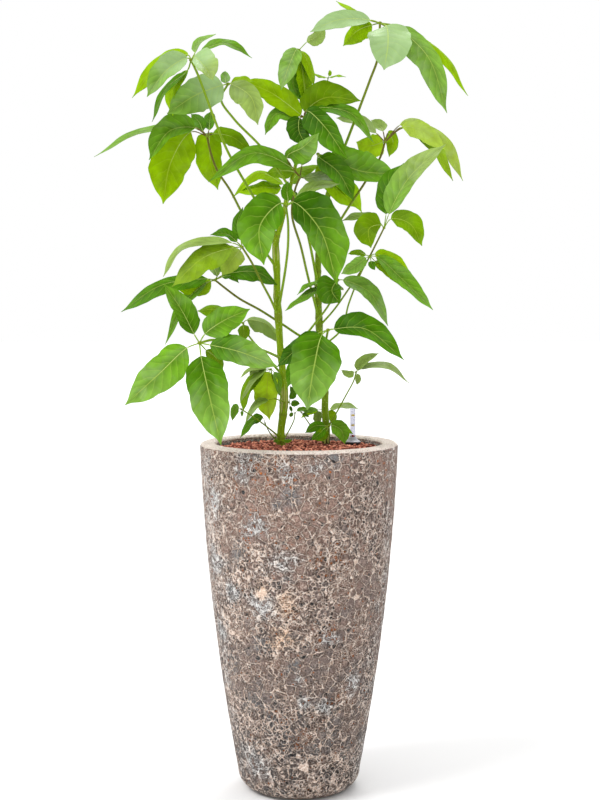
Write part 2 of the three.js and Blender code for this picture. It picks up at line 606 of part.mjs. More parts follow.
const rootWall = pot.wall + FILL_CLEARANCE;
let rootGranules = asSolid(
  turned(
    [
      [0, potFloor + GAP], [pot.footRadius - rootWall, potFloor + GAP],
      [pot.rimRadius - rootWall, pot.top - 1], [0, pot.top - 1],
    ],
    TURNS, pot.x, pot.y,
  ),
);
rootGranules = rootGranules.subtract(stemHoles[0]).subtract(stemHoles[1]);

// A solid that fills the planter's hollow between two heights, clear of its wall.
function wallFilling(bottom, top, clearance) {
  const nearEnd = WALL / 6;
  const between = innerHeights.filter((z) => z > bottom + nearEnd && z < top - nearEnd).reverse();
  const atChamfer = innerRadius(chamferTop) - clearance;
  const corners = bottom < chamferTop
    ? [[atChamfer - INNER_CHAMFER.width - 1, bottom], [atChamfer, chamferTop]]
    : [[innerRadius(bottom) - clearance, bottom]];
  return [
    [0, bottom], ...corners, ...between.map((z) => [innerRadius(z) - clearance, z]),
    [innerRadius(top) - clearance, top],
  ];
}

const fillerTop = LINER.bottom - GAP;
const baseFiller = turned([...wallFilling(FLOOR + GAP, fillerTop, LINER_CLEARANCE), [0, fillerTop]], TURNS);
const linerFloor = LINER.bottom + LINER.wall;
const linerInside = wallFilling(linerFloor, LINER.top, LINER_CLEARANCE + LINER.wall).reverse();
const liner = turned([...wallFilling(LINER.bottom, LINER.top, LINER_CLEARANCE), ...linerInside], TURNS);

const fillWall = LINER_CLEARANCE + LINER.wall + FILL_CLEARANCE;
const fillProfile = [...wallFilling(linerFloor + GAP, LINER.top, fillWall), [0, LINER.top]];
let fillGranules = asSolid(turned(fillProfile, TURNS));
const potRoom = turned(
  [
    [0, potBottom - GAP], [pot.footRadius + POT_ROOM, potBottom - GAP], [pot.rimRadius + POT_ROOM, pot.top],
    [pot.rimRadius + POT_ROOM, BED_TOP], [0, BED_TOP],
  ],
  TURNS, pot.x, pot.y,
);
fillGranules = fillGranules.subtract(asSolid(potRoom)).subtract(gaugeHole);

// Gauge
const flangeBottom = BED_TOP + GAP;
const flangeTop = flangeBottom + CASING.flangeHeight;
const casingInner = CASING.radius - CASING.wall;
const casingFloor = CASING.bottom + CASING.floor;
const casing = turned(
  [
    [CASING.drain, CASING.bottom], [CASING.radius, CASING.bottom], [CASING.radius, flangeBottom],
    [CASING.flange, flangeBottom], [CASING.flange, flangeTop], [casingInner, flangeTop],
    [casingInner, casingFloor], [CASING.drain, casingFloor], [CASING.drain, CASING.bottom],
  ],
  GAUGE_SIDES, GAUGE.x, GAUGE.y,
);
const collarBore = TUBE.radius + GAP;
const collar = turned(
  [
    [collarBore, COLLAR.bottom], [COLLAR.radius, COLLAR.bottom],
    ...COLLAR_CURVE.map(([radius, height]) => [radius, COLLAR.bottom + height]),
    [COLLAR.neck, COLLAR.top], [collarBore, COLLAR.top], [collarBore, COLLAR.bottom],
  ],
  GAUGE_SIDES, GAUGE.x, GAUGE.y,
);
const tubeInner = TUBE.radius - TUBE.wall;
const tube = turned(
  [
    [tubeInner, TUBE.bottom], [TUBE.radius, TUBE.bottom], [TUBE.radius, TUBE.top - 1],
    [TUBE.radius - 1, TUBE.top], [0, TUBE.top], [0, TUBE.top - TUBE.wall], [tubeInner, TUBE.top - TUBE.wall],
    [tubeInner, TUBE.bottom],
  ],
  GAUGE_SIDES, GAUGE.x, GAUGE.y,
);
const floatBottom = casingFloor + GAP;
const floatTop = floatBottom + FLOAT.height;
const float = cylinder(FLOAT.radius, floatBottom, floatTop, GAUGE_SIDES, GAUGE.x, GAUGE.y);
const rod = turned(
  [
    [0, floatTop + GAP], [ROD.radius, floatTop + GAP], [ROD.radius, ROD.tipBottom],
    [ROD.tipRadius, ROD.tipBottom + 1], [ROD.tipRadius, ROD.top - 1], [0, ROD.top],
  ],
  GAUGE_SIDES / 2, GAUGE.x, GAUGE.y,
);

function mark(height) {
  const inner = TUBE.radius + GAP;
  const outer = inner + MARKS.thickness;
  const shape = new THREE.Shape();
  const middle = -Math.PI / 2;
  shape.absarc(0, 0, outer, middle - MARKS.halfAngle, middle + MARKS.halfAngle, false);
  shape.absarc(0, 0, inner, middle + MARKS.halfAngle, middle - MARKS.halfAngle, true);
  const pressed = { depth: MARKS.height, bevelEnabled: false, curveSegments: 5 };
  const plate = new THREE.ExtrudeGeometry(shape, pressed);
  return plate.translate(GAUGE.x, GAUGE.y, height - MARKS.height / 2);
}

const plant = new THREE.Group();
plant.add(
  piece("planter", planter, 0x8c7f78, 0.9),
  piece("base_filler", baseFiller, 0x8a6a50, 1),
  piece("liner", liner, 0x24262a, 0.5),
  piece("culture_pot", asGeometry(culturePot), 0x2b2a28, 0.5),
  piece("fill_granules", asGeometry(fillGranules), 0x8a4b3c, 1),
  piece("root_granules", asGeometry(rootGranules), 0x8a4b3c, 1),
  piece("top_granules", asGeometry(bed), 0xa2604f, 1),
  piece("gauge_casing", casing, 0x1d1c1f, 0.5),
  piece("gauge_float", float, 0xe8e6e0, 0.8),
  piece("gauge_rod", rod, 0x9c1c10, 0.4),
  piece("gauge_collar", collar, 0xb9b8c0, 0.4),
  piece("gauge_tube", tube, 0xd8d8da, 0.1),
  piece("gauge_mark_low", mark(MARKS.heights[0]), 0xd0b850, 0.5),
  piece("gauge_mark_high", mark(MARKS.heights[1]), 0xd0b850, 0.5),
);
for (const side in STEMS) {
  plant.add(piece(`stem_${side}`, asGeometry(stemBar(side, 0).add(root(side, 0))), 0x6f8a12, 0.6));
}
for (const name in LEAVES) {
  let grown = leaf(LEAVES[name]);
  for (const hole of stemHoles) {
    grown = grown.subtract(hole);
  }
  plant.add(piece(name, asGeometry(largest(grown)), 0x4c8a1e, 0.45));
}

export default plant;
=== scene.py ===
import math
import random
from collections import namedtuple
from functools import partial

import bpy
import numpy as np
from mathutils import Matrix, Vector, noise


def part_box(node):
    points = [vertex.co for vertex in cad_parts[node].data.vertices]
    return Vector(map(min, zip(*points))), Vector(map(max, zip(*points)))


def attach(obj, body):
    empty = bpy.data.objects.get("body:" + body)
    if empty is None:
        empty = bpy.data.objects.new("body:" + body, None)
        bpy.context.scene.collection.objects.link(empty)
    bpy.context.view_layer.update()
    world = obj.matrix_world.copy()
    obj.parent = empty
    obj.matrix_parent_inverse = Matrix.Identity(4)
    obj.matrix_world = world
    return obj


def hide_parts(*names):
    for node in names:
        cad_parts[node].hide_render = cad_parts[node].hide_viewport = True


bl_info = {
    "name": "Potted umbrella plant",
    "version": (1, 0, 0),
    "blender": (4, 5, 0),
    "location": "3D View > Sidebar > Umbrella plant",
    "description": "Leaves, stems, granules, gauge and glazed planter around the construction model",
    "category": "Add Mesh",
}

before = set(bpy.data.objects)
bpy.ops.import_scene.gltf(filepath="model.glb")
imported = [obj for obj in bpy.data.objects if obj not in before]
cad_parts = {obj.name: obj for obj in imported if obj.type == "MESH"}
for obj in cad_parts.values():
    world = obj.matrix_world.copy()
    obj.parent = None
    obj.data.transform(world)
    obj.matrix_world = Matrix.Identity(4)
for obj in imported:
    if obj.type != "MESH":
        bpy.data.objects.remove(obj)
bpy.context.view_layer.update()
MM = 0.001

# The sight lines of the view that the plant's places are given in: across and down are places in a picture
# 600 wide and 800 high, and depth is millimetres behind the planter's axis (less than 0 is nearer the eye).
PICTURE_SIZE = (600, 800)
PICTURE_MIDDLE = (300, 400)
FOCAL_LENGTH = 1408
EYE = np.array((0.002, -2.7, 0.94))
LOOKS_DOWN = math.radians(3.97)
AHEAD = np.array((0, math.cos(LOOKS_DOWN), -math.sin(LOOKS_DOWN)))
UPWARD = np.array((0, math.sin(LOOKS_DOWN), math.cos(LOOKS_DOWN)))
SIDEWAYS = np.array((1, 0, 0))

# Stems: across, down, depth and diameter at points from the granules to the top
STEMS = {
    "left": (
        (281, 449, 54, 17), (281, 440, 54, 16), (281, 430, 54, 14.5), (283, 415, 53, 15.5),
        (284, 400, 52, 17), (284, 385, 51, 15), (282, 365, 50, 13.5), (280, 345, 48, 13.5),
        (278, 310, 44, 14.5), (277, 297, 42, 14), (277, 275, 39, 13), (276, 255, 36, 15),
        (276, 240, 32, 12.5), (281, 225, 27, 8.5), (286, 205, 20, 7.5), (292, 180, 10, 7),
        (299, 150, 0, 6.5), (303, 127, -6, 6),
    ),
    "right": (
        (326, 447, 84, 16), (326, 438, 84, 15.5), (326, 425, 84, 14.5), (325, 410, 83, 14),
        (325, 390, 81, 13.5), (322, 365, 79, 13.5), (320, 345, 76, 14), (319, 320, 73, 13.5),
        (318, 290, 70, 13), (318, 265, 66, 12.5), (320, 240, 60, 12), (323, 215, 52, 11.5),
        (328, 195, 45, 11), (333, 180, 36, 9), (336, 167, 25, 7.5),
    ),
}

# hub: where a leaf's leaflets meet. joins: the stem, and the height in the picture where the stalk meets it.
# thickness: the stalk's, in millimetres. tones: how each leaflet looks, as a tone, or base>tip. stalk: points
# from the hub towards the stem. leaflets: the blade's base, middle and tip in the picture, how many
# millimetres further back than the hub its tip is, and how far in the picture it reaches from its midrib on
# the right and on the left, as one looks from the base to the tip.
Leaf = namedtuple("Leaf", "hub joins thickness tones stalk leaflets")
LEAVES = {
    "leaf_top_left": Leaf(
        (191, 60, -120), ("left", 236), 4.4, "fresh mid sheen>pale sheen>fresh lime dark lime", (
        (198, 75, -118), (214, 118, -85), (228, 152, -35), (246, 184, -8),
    ), (
        (195, 53, 199, 43, 216, 34, 60, 4, 4.5), (201, 51, 226, 44, 252, 58, 30, 4, 5.5),
        (194, 57, 204, 66, 213, 80, -70, 7.5, 15), (187, 58, 166, 71, 147, 97, -45, 13, 10),
        (188, 55, 160, 63, 132, 98, 45, 10, 9), (187, 71, 166, 89, 152, 122, 10, 4, 4.5),
        (188, 70, 172, 92, 173, 116, 45, 8, 4),
    )),
    "leaf_upper_left": Leaf((228, 84, -60), ("right", 286), 4.4, "sheen>fresh pale mid lime", (
        (221, 99, -58), (234, 119, -50), (262, 148, -34), (286, 182, -30), (300, 205, -8), (309, 240, 34),
    ), (
        (223, 85, 196, 95, 167, 114, -40, 16, 18), (231, 84, 251, 97, 258, 125, -60, 15, 9.5),
        (226, 83, 225, 77, 225, 71, 60, 4.5, 4.5), (231, 83, 242, 79, 254, 82, 15, 3, 4),
    )),
    "leaf_left_upper": Leaf((207, 136, 0), ("left", 268), 4.2, "mid fresh lime lime olive dark dark", (
        (210, 150, 4), (217, 170, 10), (230, 190, 14), (242, 213, 20), (260, 244, 30),
    ), (
        (195, 128, 170, 131, 149, 160, -45, 14, 9), (194, 127, 140, 133, 94, 157, -10, 4, 3.5),
        (191, 132, 171, 162, 163, 204, 30, 21, 19), (209, 133, 210, 158, 218, 190, 50, 14, 12),
        (213, 134, 232, 137, 252, 153, 20, 8, 9), (209, 130, 210, 120, 211, 111, 55, 6, 6),
        (203, 131, 199, 122, 191, 114, 40, 6, 6),
    )),
    "leaf_centre_upper": Leaf((300, 177, -20), ("right", 318), 4.2, "mid mid>fresh grey olive dark", (
        (295, 190, -4), (292, 215, 12), (301, 247, 25), (308, 277, 45),
    ), (
        (292, 168, 254, 153, 208, 182, -55, 7, 12), (287, 158, 303, 147, 319, 133, -105, 15, 6),
        (304, 178, 322, 176, 345, 178, 30, 7, 4), (294, 172, 280, 171, 266, 173, 60, 7, 7),
        (302, 165, 306, 150, 309, 134, 60, 8, 8),
    )),
    "leaf_centre_front": Leaf((286, 206, -110), ("left", 312), 4.4, "dark>mid deep>mid dark grey grey", (
        (288, 222, -85), (288, 245, -50), (285, 272, -5),
    ), (
        (281, 203, 260, 226, 264, 265, -40, 22, 17), (293, 202, 320, 230, 337, 285, -50, 15, 25),
        (288, 201, 287, 192, 288, 181, 10, 5.5, 6), (281, 203, 270, 197, 259, 196, 10, 4, 4),
        (296, 201, 313, 188, 340, 184, 60, 5, 6),
    )),
    "leaf_back_centre": Leaf((287, 187, 90), ("left", 240), 3.8, "lime lime olive dark", (
        (284, 205, 80), (279, 225, 52),
    ), (
        (281, 188, 262, 188, 238, 193, 20, 8, 6), (283, 184, 258, 173, 232, 198, 30, 4, 6),
        (291, 183, 300, 172, 320, 165, 60, 6, 6), (290, 192, 296, 200, 300, 213, 20, 5, 5),
    )),
    "leaf_right_centre": Leaf((318, 154, 10), ("right", 169), 4.2, "dark mid lime lime", (
        (325, 160, 20),
    ), (
        (319, 157, 338, 172, 354, 201, -50, 12, 11), (328, 157, 360, 171, 397, 174, -20, 12, 19),
        (318, 165, 338, 190, 357, 208, 60, 9, 9), (330, 168, 350, 188, 362, 213, 85, 8, 8),
    )),
    "leaf_crown": Leaf(
        (304, 117, -10), ("left", 129), 4.2, "lime mid deep>dark deep olive lime dark>mid", (), (
        (301, 115, 273, 94, 241, 80, -10, 13, 10), (299, 116, 276, 114, 265, 135, -20, 6, 8),
        (307, 111, 325, 127, 347, 159, -70, 17, 10), (300, 118, 299, 131, 306, 145, -45, 12, 11),
        (305, 112, 325, 98, 361, 101, 20, 8.5, 17), (306, 112, 325, 108, 345, 112, 45, 4, 4),
        (312, 109, 350, 113, 374, 143, 0, 8, 5),
    )),
    "leaf_top_centre": Leaf((299, 50, 10), ("left", 144), 3.4, "fresh lime lime mid pale", (
        (303, 75, 12), (306, 100, 12), (307, 120, 8),
    ), (
        (297, 49, 289, 66, 281, 90, -50, 9, 10.5), (301, 51, 309, 65, 314, 86, 0, 5, 5),
        (300, 54, 306, 78, 303, 101, 20, 8, 8), (298, 56, 293, 84, 301, 101, 20, 7, 7),
        (307, 42, 316, 37, 325, 27, 20, 8.5, 5),
    )),
    "young_shoot": Leaf((328, 78, 30), ("left", 156), 2, "lime lime lime", (
        (326, 95, 40), (318, 115, 42), (311, 138, 28),
    ), (
        (326, 77.5, 318, 75, 310, 72, 20, 1.6, 1.6), (330, 77.5, 338, 75.5, 346, 77, 10, 1.3, 1.3),
        (329, 76, 330, 73, 329.5, 70, -5, 1.8, 1.8),
    )),
    "leaf_top_right": Leaf((380, 23, -20), ("right", 172), 4.6, "lime sheen sheen lime fresh lime lime", (
        (378, 57, -10), (370, 80, 10), (358, 112, 32), (348, 138, 32),
    ), (
        (369, 20, 353, 9, 336, 1, 30, 3.5, 3.5), (370, 20, 338, 20, 310, 32, -15, 9, 10),
        (386, 26, 388, 43, 384, 70, -80, 20, 23), (372, 25, 357, 31, 343, 46, 50, 8, 11),
        (396, 28, 428, 57, 447, 113, -30, 17, 10.5), (396, 26, 441, 52, 468, 96, 30, 6, 4.5),
        (392, 31, 404, 43, 416, 58, 60, 6, 6),
    )),
    "leaf_right_upper": Leaf(
        (385, 142, 30), ("right", 255), 4.2, "bright lime pale pale straw straw moss straw", (
        (380, 158, 30), (364, 184, 24), (350, 205, 26), (338, 224, 40),
    ), (
        (383, 142, 370, 146, 356, 142, 30, 11, 12), (388, 133, 393, 142, 389, 157, 40, 7, 6),
        (376, 133, 358, 120, 336, 118, 40, 5, 8), (383, 131, 380, 126, 371, 120, 50, 6, 6),
        (400, 125, 417, 120, 436, 133, 20, 6, 4), (402, 127, 424, 132, 445, 150, -15, 9, 10),
        (404, 128, 432, 142, 453, 181, 10, 7, 8), (404, 127, 442, 140, 463, 181, 40, 6, 9),
    )),
    "leaf_right_middle": Leaf((384, 228, -60), ("right", 326), 3.4, "fresh>pale dark olive olive grey", (
        (378, 240, -50), (366, 263, -25), (348, 290, 20), (333, 311, 56),
    ), (
        (389, 214, 409, 178, 446, 144, -30, 8, 14), (386, 214, 388, 188, 404, 163, 25, 8, 10),
        (391, 219, 410, 224, 422, 246, -30, 8, 12), (381, 225, 369, 229, 371, 248, -50, 15, 9),
        (379, 222, 362, 217, 341, 221, 25, 4, 4),
    )),
    "leaf_left_middle": Leaf((242, 247, -40), ("left", 318), 4.2, "pale moss straw dark dark", (
        (252, 263, -30), (262, 283, -5), (271, 300, 20),
    ), (
        (232, 243, 183, 249, 163, 277, -20, 4.5, 3.5), (232, 248, 203, 258, 172, 287, -30, 12, 14),
        (240, 250, 232, 260, 222, 276, 25, 12, 10), (237, 242, 226, 234, 210, 235, 30, 5, 4),
        (241, 240, 237, 225, 243, 207, 30, 7, 5),
    )),
    "leaf_left_back": Leaf((215, 280, 0), ("right", 345), 4.2, "grey dark dark dark dark mid lime", (
        (225, 288, 10), (240, 299, 26), (260, 310, 48), (282, 324, 66), (302, 337, 74),
    ), (
        (217, 276, 212, 264, 208, 253, 40, 5.5, 5), (220, 272, 228, 265, 239, 257, 30, 4, 4),
        (224, 275, 256, 272, 277, 285, 30, 10, 6), (222, 277, 231, 276, 239, 283, -30, 4, 3),
        (207, 279, 162, 285, 121, 312, -10, 5, 11), (207, 283, 186, 301, 165, 345, 20, 5, 6),
        (211, 281, 196, 285, 172, 284, 15, 6, 11),
    )),
    "leaf_front_low_left": Leaf(
        (199.5, 343, -190), ("left", 358), 4.6, "dark>mid mid mid>fresh dark>fresh dark>fresh olive", (
        (212, 340, -175), (240, 345, -110), (262, 350, -30),
    ), (
        (194, 334, 182, 311, 164, 284, 20, 12, 8.5), (205, 334, 223, 321, 250, 309, -10, 14, 13.5),
        (187, 348, 160, 373, 125, 405, -20, 16, 19), (210, 345, 240, 352, 278, 367, -40, 13, 14),
        (201, 356, 209, 394, 221, 445, -40, 20.5, 20.5), (206, 350, 216, 358, 222, 375, 45, 5, 6),
    )),
    "leaf_low_back_left": Leaf((243, 323, 60), ("left", 376), 3.4, "under olive olive", (
        (247, 333, 62), (262, 352, 60),
    ), (
        (247, 320, 266, 324, 283, 344, 20, 10, 4), (243, 325, 244, 332, 243, 341, -10, 6, 6),
        (238, 322, 216, 310, 197, 311, 30, 6, 8),
    )),
    "leaf_front_low_centre": Leaf((328, 330, -120), ("right", 356), 4.4, "dark>fresh deep>dark deep dark", (
        (326, 340, -90), (323, 348, -10),
    ), (
        (322, 335, 314, 367, 307, 410, -45, 25, 25), (334, 329, 365, 329, 404, 360, -25, 8.5, 14.5),
        (319, 333, 297, 349, 277, 367, 20, 8, 9), (320, 336, 299, 362, 287, 388, 40, 8, 8),
    )),
    "leaf_middle_right": Leaf((338, 280, -30), ("left", 352), 3.8, "dark mid mid fresh", (
        (331, 301, -15), (316, 322, 10), (304, 336, 25),
    ), (
        (336, 282, 332, 291, 340, 303, -40, 16, 11), (330, 284, 305, 296, 285, 311, 0, 3, 4),
        (328, 281, 308, 287, 297, 295, 12, 2, 2), (343, 280, 369, 292, 388, 326, -25, 7, 9),
    )),
    "leaf_right_low": Leaf((370, 256, -50), ("right", 348), 3.2, "lime mid lime dark fresh olive", (
        (360, 275, -8), (349, 303, 10), (341, 330, 50),
    ), (
        (375, 254, 394, 261, 411, 277, 20, 9, 8), (377, 257, 403, 280, 433, 310, -30, 8, 9),
        (375, 261, 393, 272, 411, 293, 25, 6, 6), (371, 261, 372, 265, 375, 270, -15, 3.5, 3.5),
        (366, 258, 355, 266, 341, 274, 0, 6.5, 7), (366, 255, 357, 252, 348, 254, 30, 3, 3),
    )),
    "leaf_low_right": Leaf((356, 372, 20), ("right", 430), 2.6, "pale pale pale pale", (
        (354, 380, 25), (345, 397, 45), (338, 410, 62),
    ), (
        (357, 370, 363, 362, 379, 353, 0, 4, 5), (361, 369, 385, 365, 409, 383, -10, 3, 3),
        (354, 372, 349, 373, 341, 370, 10, 2, 5), (357, 374, 358, 379, 357, 385, 0, 3, 3),
    )),
    "leaf_behind_right_stem": Leaf((324, 409, 125), ("right", 426), 2.6, "pale lime pale lime", (
        (325, 415, 110),
    ), (
        (330, 409, 344, 406, 359, 409, 0, 2.5, 2.5), (318, 410, 310, 411, 301, 418, 0, 3, 3),
        (321, 412, 318, 417, 319, 425, 0, 5, 4), (328, 411, 333, 416, 332, 425, 0, 5, 4),
    )),
    "leaf_foot_right": Leaf((329, 426, 50), ("right", 434), 3.4, "mid dark dark olive olive", (), (
        (331, 425, 341, 430, 345, 444, -15, 8, 8), (325, 426, 315, 426, 305, 433, -15, 4, 6),
        (325, 428, 319, 434, 311, 440, -25, 4, 5), (333, 424, 345, 428, 353, 434, 10, 3, 3),
        (327, 430, 322, 435, 317, 441, -22, 6, 6),
    )),
    "leaf_low_left": Leaf((271, 369, 10), ("left", 402), 2.6, "pale grey bright pale olive mid", (
        (272, 376, 14), (277, 388, 30),
    ), (
        (266, 369, 252, 370, 240, 378, 0, 1.7, 1.7), (267, 369, 253, 382, 240, 403, -20, 2.5, 2.5),
        (269, 372, 267, 393, 269.5, 420, 24, 14, 11), (264, 369, 257, 369, 251, 382, 20, 6, 5),
        (264, 372, 247, 388, 243, 412, 15, 6, 5), (274, 372, 277, 380, 279, 396, 20, 4, 4),
    )),
    "leaf_foot_left": Leaf((241, 409, -30), ("left", 438), 2.6, "mid mid", (
        (252, 416, -25), (262, 423, -5),
    ), (
        (239, 408, 236, 409, 232, 421, 5, 5, 4), (242, 411, 242, 413, 242, 417, 0, 1.5, 1.5),
    )),
    "sprout_arching_left": Leaf((275, 398.5, 4), ("left", 402), 2.4, "grey", (), (
        (268, 400, 256, 405, 245, 424, -15, 3, 3.5),
    )),
    "sprout_dark_left": Leaf((265, 423, 20), ("left", 444), 2.2, "dark", (
        (270, 433, 36),
    ), (
        (263, 418, 253, 421, 240, 438, -15, 4, 4),
    )),
    "sprout_between_high": Leaf((289, 402, 52), ("left", 406), 2.4, "dark dark dark", (), (
        (290, 399, 293, 393, 290, 386, 5, 4, 3), (291, 404, 295, 403, 300, 404, 5, 3.5, 3),
        (290, 406, 291, 409, 292, 412, 0, 1.5, 1.5),
    )),
    "sprout_between_low": Leaf((295, 413, 60), ("left", 443), 2.2, "mid mid", (
        (294, 420, 58), (287, 434, 56),
    ), (
        (297, 411, 302, 409, 308, 409, 5, 2, 2), (293, 413, 291, 415, 290, 417, 0, 2, 2),
    )),
    "sprout_to_right_stem": Leaf((301, 412, 80), ("right", 436), 2.2, "mid mid", (
        (306, 419, 82), (313, 428, 84),
    ), (
        (303, 411, 310, 410, 319, 410, -25, 3, 2.5), (303, 413, 306, 415, 309, 417, 5, 1.5, 1.5),
    )),
    "sprout_on_granules": Leaf((281, 441, 38), ("left", 442), 2.2, "mid mid", (), (
        (278, 441, 276, 441, 273, 441, 0, 1.5, 1.5), (284, 441, 288, 441, 292, 440, -5, 2, 1.5),
    )),
}

# Where old leaves have left a ring on a stem: down in the picture
STEM_SCARS = {"left": (415, 297, 268), "right": (392, 345, 300, 272)}
# Strips of old leaf sheaths: from and to down in the picture, which way round (0 is towards the eye, 90 to
# the right), and half the strip's width in millimetres
SHEATHS = {
    "left": ((414, 386, -25, 2.6), (412, 389, 35, 2.2), (404, 384, 5, 1.8), (264, 244, -30, 2.2),
             (262, 246, 30, 2), (300, 286, -40, 1.6)),
    "right": ((444, 430, -20, 2.6), (443, 432, 30, 2.2), (352, 338, 20, 1.6), (300, 286, -20, 1.5)),
}
YOUNG = (
    "young_shoot", "leaf_low_right", "leaf_low_left", "leaf_behind_right_stem", "leaf_low_back_left",
    "sprout_arching_left", "sprout_dark_left", "sprout_between_high", "sprout_between_low",
    "sprout_to_right_stem", "sprout_on_granules",
)
# How brown a leaf's stalk is near its knuckle, and how brown its leaflets' own stalks are, as shares
BROWN_STALKS = {
    "leaf_left_upper": (0.9, 1), "leaf_right_upper": (0.9, 1), "leaf_centre_upper": (0.9, 1),
    "leaf_crown": (0.9, 1), "leaf_top_right": (0.7, 0.2), "leaf_left_back": (0.8, 0.4),
    "leaf_left_middle": (0.6, 0.2), "leaf_right_middle": (0.75, 0.1),
}
GREEN_STALK = (0.1, 0)

# A blade's outline: how far along it is, and how much of its width it has there
OUTLINE = (
    (0, 0.04), (0.03, 0.25), (0.07, 0.47), (0.13, 0.71), (0.2, 0.88), (0.3, 0.98), (0.42, 1), (0.54, 0.97),
    (0.65, 0.89), (0.74, 0.76), (0.82, 0.58), (0.88, 0.38), (0.92, 0.2), (0.95, 0.1), (0.975, 0.055),
    (1, 0.012),
)
MARGIN_LOBES = ((2.3, 0.035), (4.6, 0.025), (8, 0.012))  # how many along a margin, and how far they reach
BLADE_STARTS = 1 / 3  # share of a leaflet's midrib line that is its own short stalk
BEND_SHARE = (0.18, 0.62, 1)  # how much of its depth a leaflet has reached at base, middle and tip
HALF_WIDTH_SHARE = 0.22  # of a leaflet's length: what isn't seen of it goes into depth
DEEPEST_TURN = 13 * MM
GROWN_STALK = 4.4  # thickness of a grown leaf's stalk
KNUCKLE_SIZE = 0.85  # its radius, as a share of the stalk's thickness
KNUCKLE_BROWN = 0.45
RING_REACH = 0.0045  # of a leaf scar's ring, as a share of the stem's length
SIDE_VEINS = 8  # on each side of the midrib
VEIN_SLANT = 0.2  # how far a side vein runs towards the tip, as a share of the blade
UNDERSIDE_TONES = ("lime", "olive", "under", "bright", "straw", "moss")

# Where the planter's glaze lies differently: across and down in the picture, radius in millimetres, and kind
PATCH_KINDS = ("white", "peach", "slate", "charcoal", "rust")
GLAZE_PATCHES = (
    (213, 500, 34, "white"), (215, 558, 32, "white"), (245, 470, 26, "white"),
    (285, 472, 18, "white"), (255, 526, 26, "white"), (281, 566, 30, "white"),
    (262, 608, 34, "white"), (222, 632, 26, "white"), (298, 680, 14, "white"),
    (327, 708, 16, "white"), (303, 701, 12, "white"), (355, 682, 18, "white"),
    (255, 762, 34, "white"), (327, 640, 18, "white"), (316, 470, 14, "white"),
    (232, 590, 20, "white"), (283, 640, 24, "peach"), (272, 632, 14, "peach"),
    (286, 606, 22, "peach"), (262, 590, 16, "peach"), (290, 496, 24, "slate"),
    (277, 505, 18, "slate"), (257, 457, 14, "slate"), (335, 456, 22, "slate"),
    (263, 647, 24, "slate"), (293, 666, 24, "slate"), (319, 748, 20, "slate"),
    (275, 722, 28, "slate"), (208, 462, 16, "slate"), (251, 704, 28, "slate"),
    (232, 662, 26, "slate"), (240, 555, 20, "slate"), (238, 600, 26, "charcoal"),
    (228, 588, 18, "charcoal"), (240, 612, 18, "charcoal"), (306, 658, 14, "charcoal"),
    (321, 566, 6, "charcoal"), (304, 686, 16, "charcoal"), (270, 583, 14, "charcoal"),
    (221, 664, 16, "charcoal"), (276, 470, 28, "rust"), (233, 488, 16, "rust"),
    (266, 494, 12, "rust"), (252, 522, 20, "rust"), (333, 558, 28, "rust"), (291, 612, 20, "rust"),
    (257, 470, 16, "rust"), (328, 638, 20, "rust"), (276, 666, 12, "rust"), (336, 698, 16, "rust"),
    (240, 578, 18, "rust"), (253, 737, 14, "rust"), (301, 740, 16, "rust"), (280, 716, 14, "rust"),
    (265, 610, 16, "rust"), (250, 545, 12, "rust"),
)

planter_low, planter_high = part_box("planter")
bed_low, bed_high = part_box("top_granules")
tube_low, tube_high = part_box("gauge_tube")
collar_low, collar_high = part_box("gauge_collar")
casing_low, casing_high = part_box("gauge_casing")
rod_low, rod_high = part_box("gauge_rod")
GAUGE_X = (tube_low.x + tube_high.x) / 2
GAUGE_Y = (tube_low.y + tube_high.y) / 2
TUBE_RADIUS = (tube_high.x - tube_low.x) / 2
COLLAR_RADIUS = (collar_high.x - collar_low.x) / 2
FLANGE_RADIUS = (casing_high.x - casing_low.x) / 2
RIM_RADIUS = (planter_high.x - planter_low.x) / 2
PLANTER_HEIGHT = planter_high.z
BED_TOP = bed_high.z
BED_RADIUS = (bed_high.x - bed_low.x) / 2

# The planter's outline
MIDDLE_RADIUS = 165.7 * MM
FOOT_CURVE_TOP_RADIUS = 118.3 * MM
FOOT_CURVE = 35 * MM
RIM_ROUNDING = 8 * MM
INNER_ROUNDING = 6 * MM
WALL = 30 * MM
FLOOR = 24 * MM
FLOOR_SLOPE = 26 * MM  # how much narrower the floor is than the wall just above it
SIDE_TOP = PLANTER_HEIGHT - RIM_ROUNDING
SEEN_DOWN_TO = BED_TOP - 8 * MM  # the inner wall
DARK_WALL_BAND = (-17 * MM, -9 * MM)  # from none of the inner wall's dark speckled band to all of it, from the granules' top upwards

# The bed
ROW_HEIGHT = 0.87  # of granules in rows, as a share of their spacing
SUNK = 0.6  # how much of its radius a granule is sunk in the bed
STEM_CLEARANCE = 7 * MM
CRUST = 5 * MM  # how deep the loose granules lie on the bed's own surface
ROOT = ((0, -120), (6, -120), (14, -60), (20, -18), (10, 6))  # radius and height from the bed, in millimetres

TINTS = ("tint", "far_tint")  # colours of the side in front and of the far side


def linear(hex_colour):
    """An sRGB hex colour as linear red, green, blue and alpha."""
    shares = [int(hex_colour[i : i + 2], 16) / 255 for i in (1, 3, 5)]
    lit = [s / 12.92 if s <= 0.04045 else ((s + 0.055) / 1.055) ** 2.4 for s in shares]
    return (*lit, 1.0)


def colour(label, description, hex_colour):
    return bpy.props.FloatVectorProperty(
        name=label, description=description, subtype="COLOR", size=3, min=0, max=1,
        default=linear(hex_colour)[:3],
    )


def factor(label, description, default, most=1):
    return bpy.props.FloatProperty(
        name=label, description=description, subtype="FACTOR", min=0, max=most, default=default,
    )


def length(label, description, millimetres):
    return bpy.props.FloatProperty(
        name=label, description=description, unit="LENGTH", min=0, precision=5, default=millimetres * MM,
    )


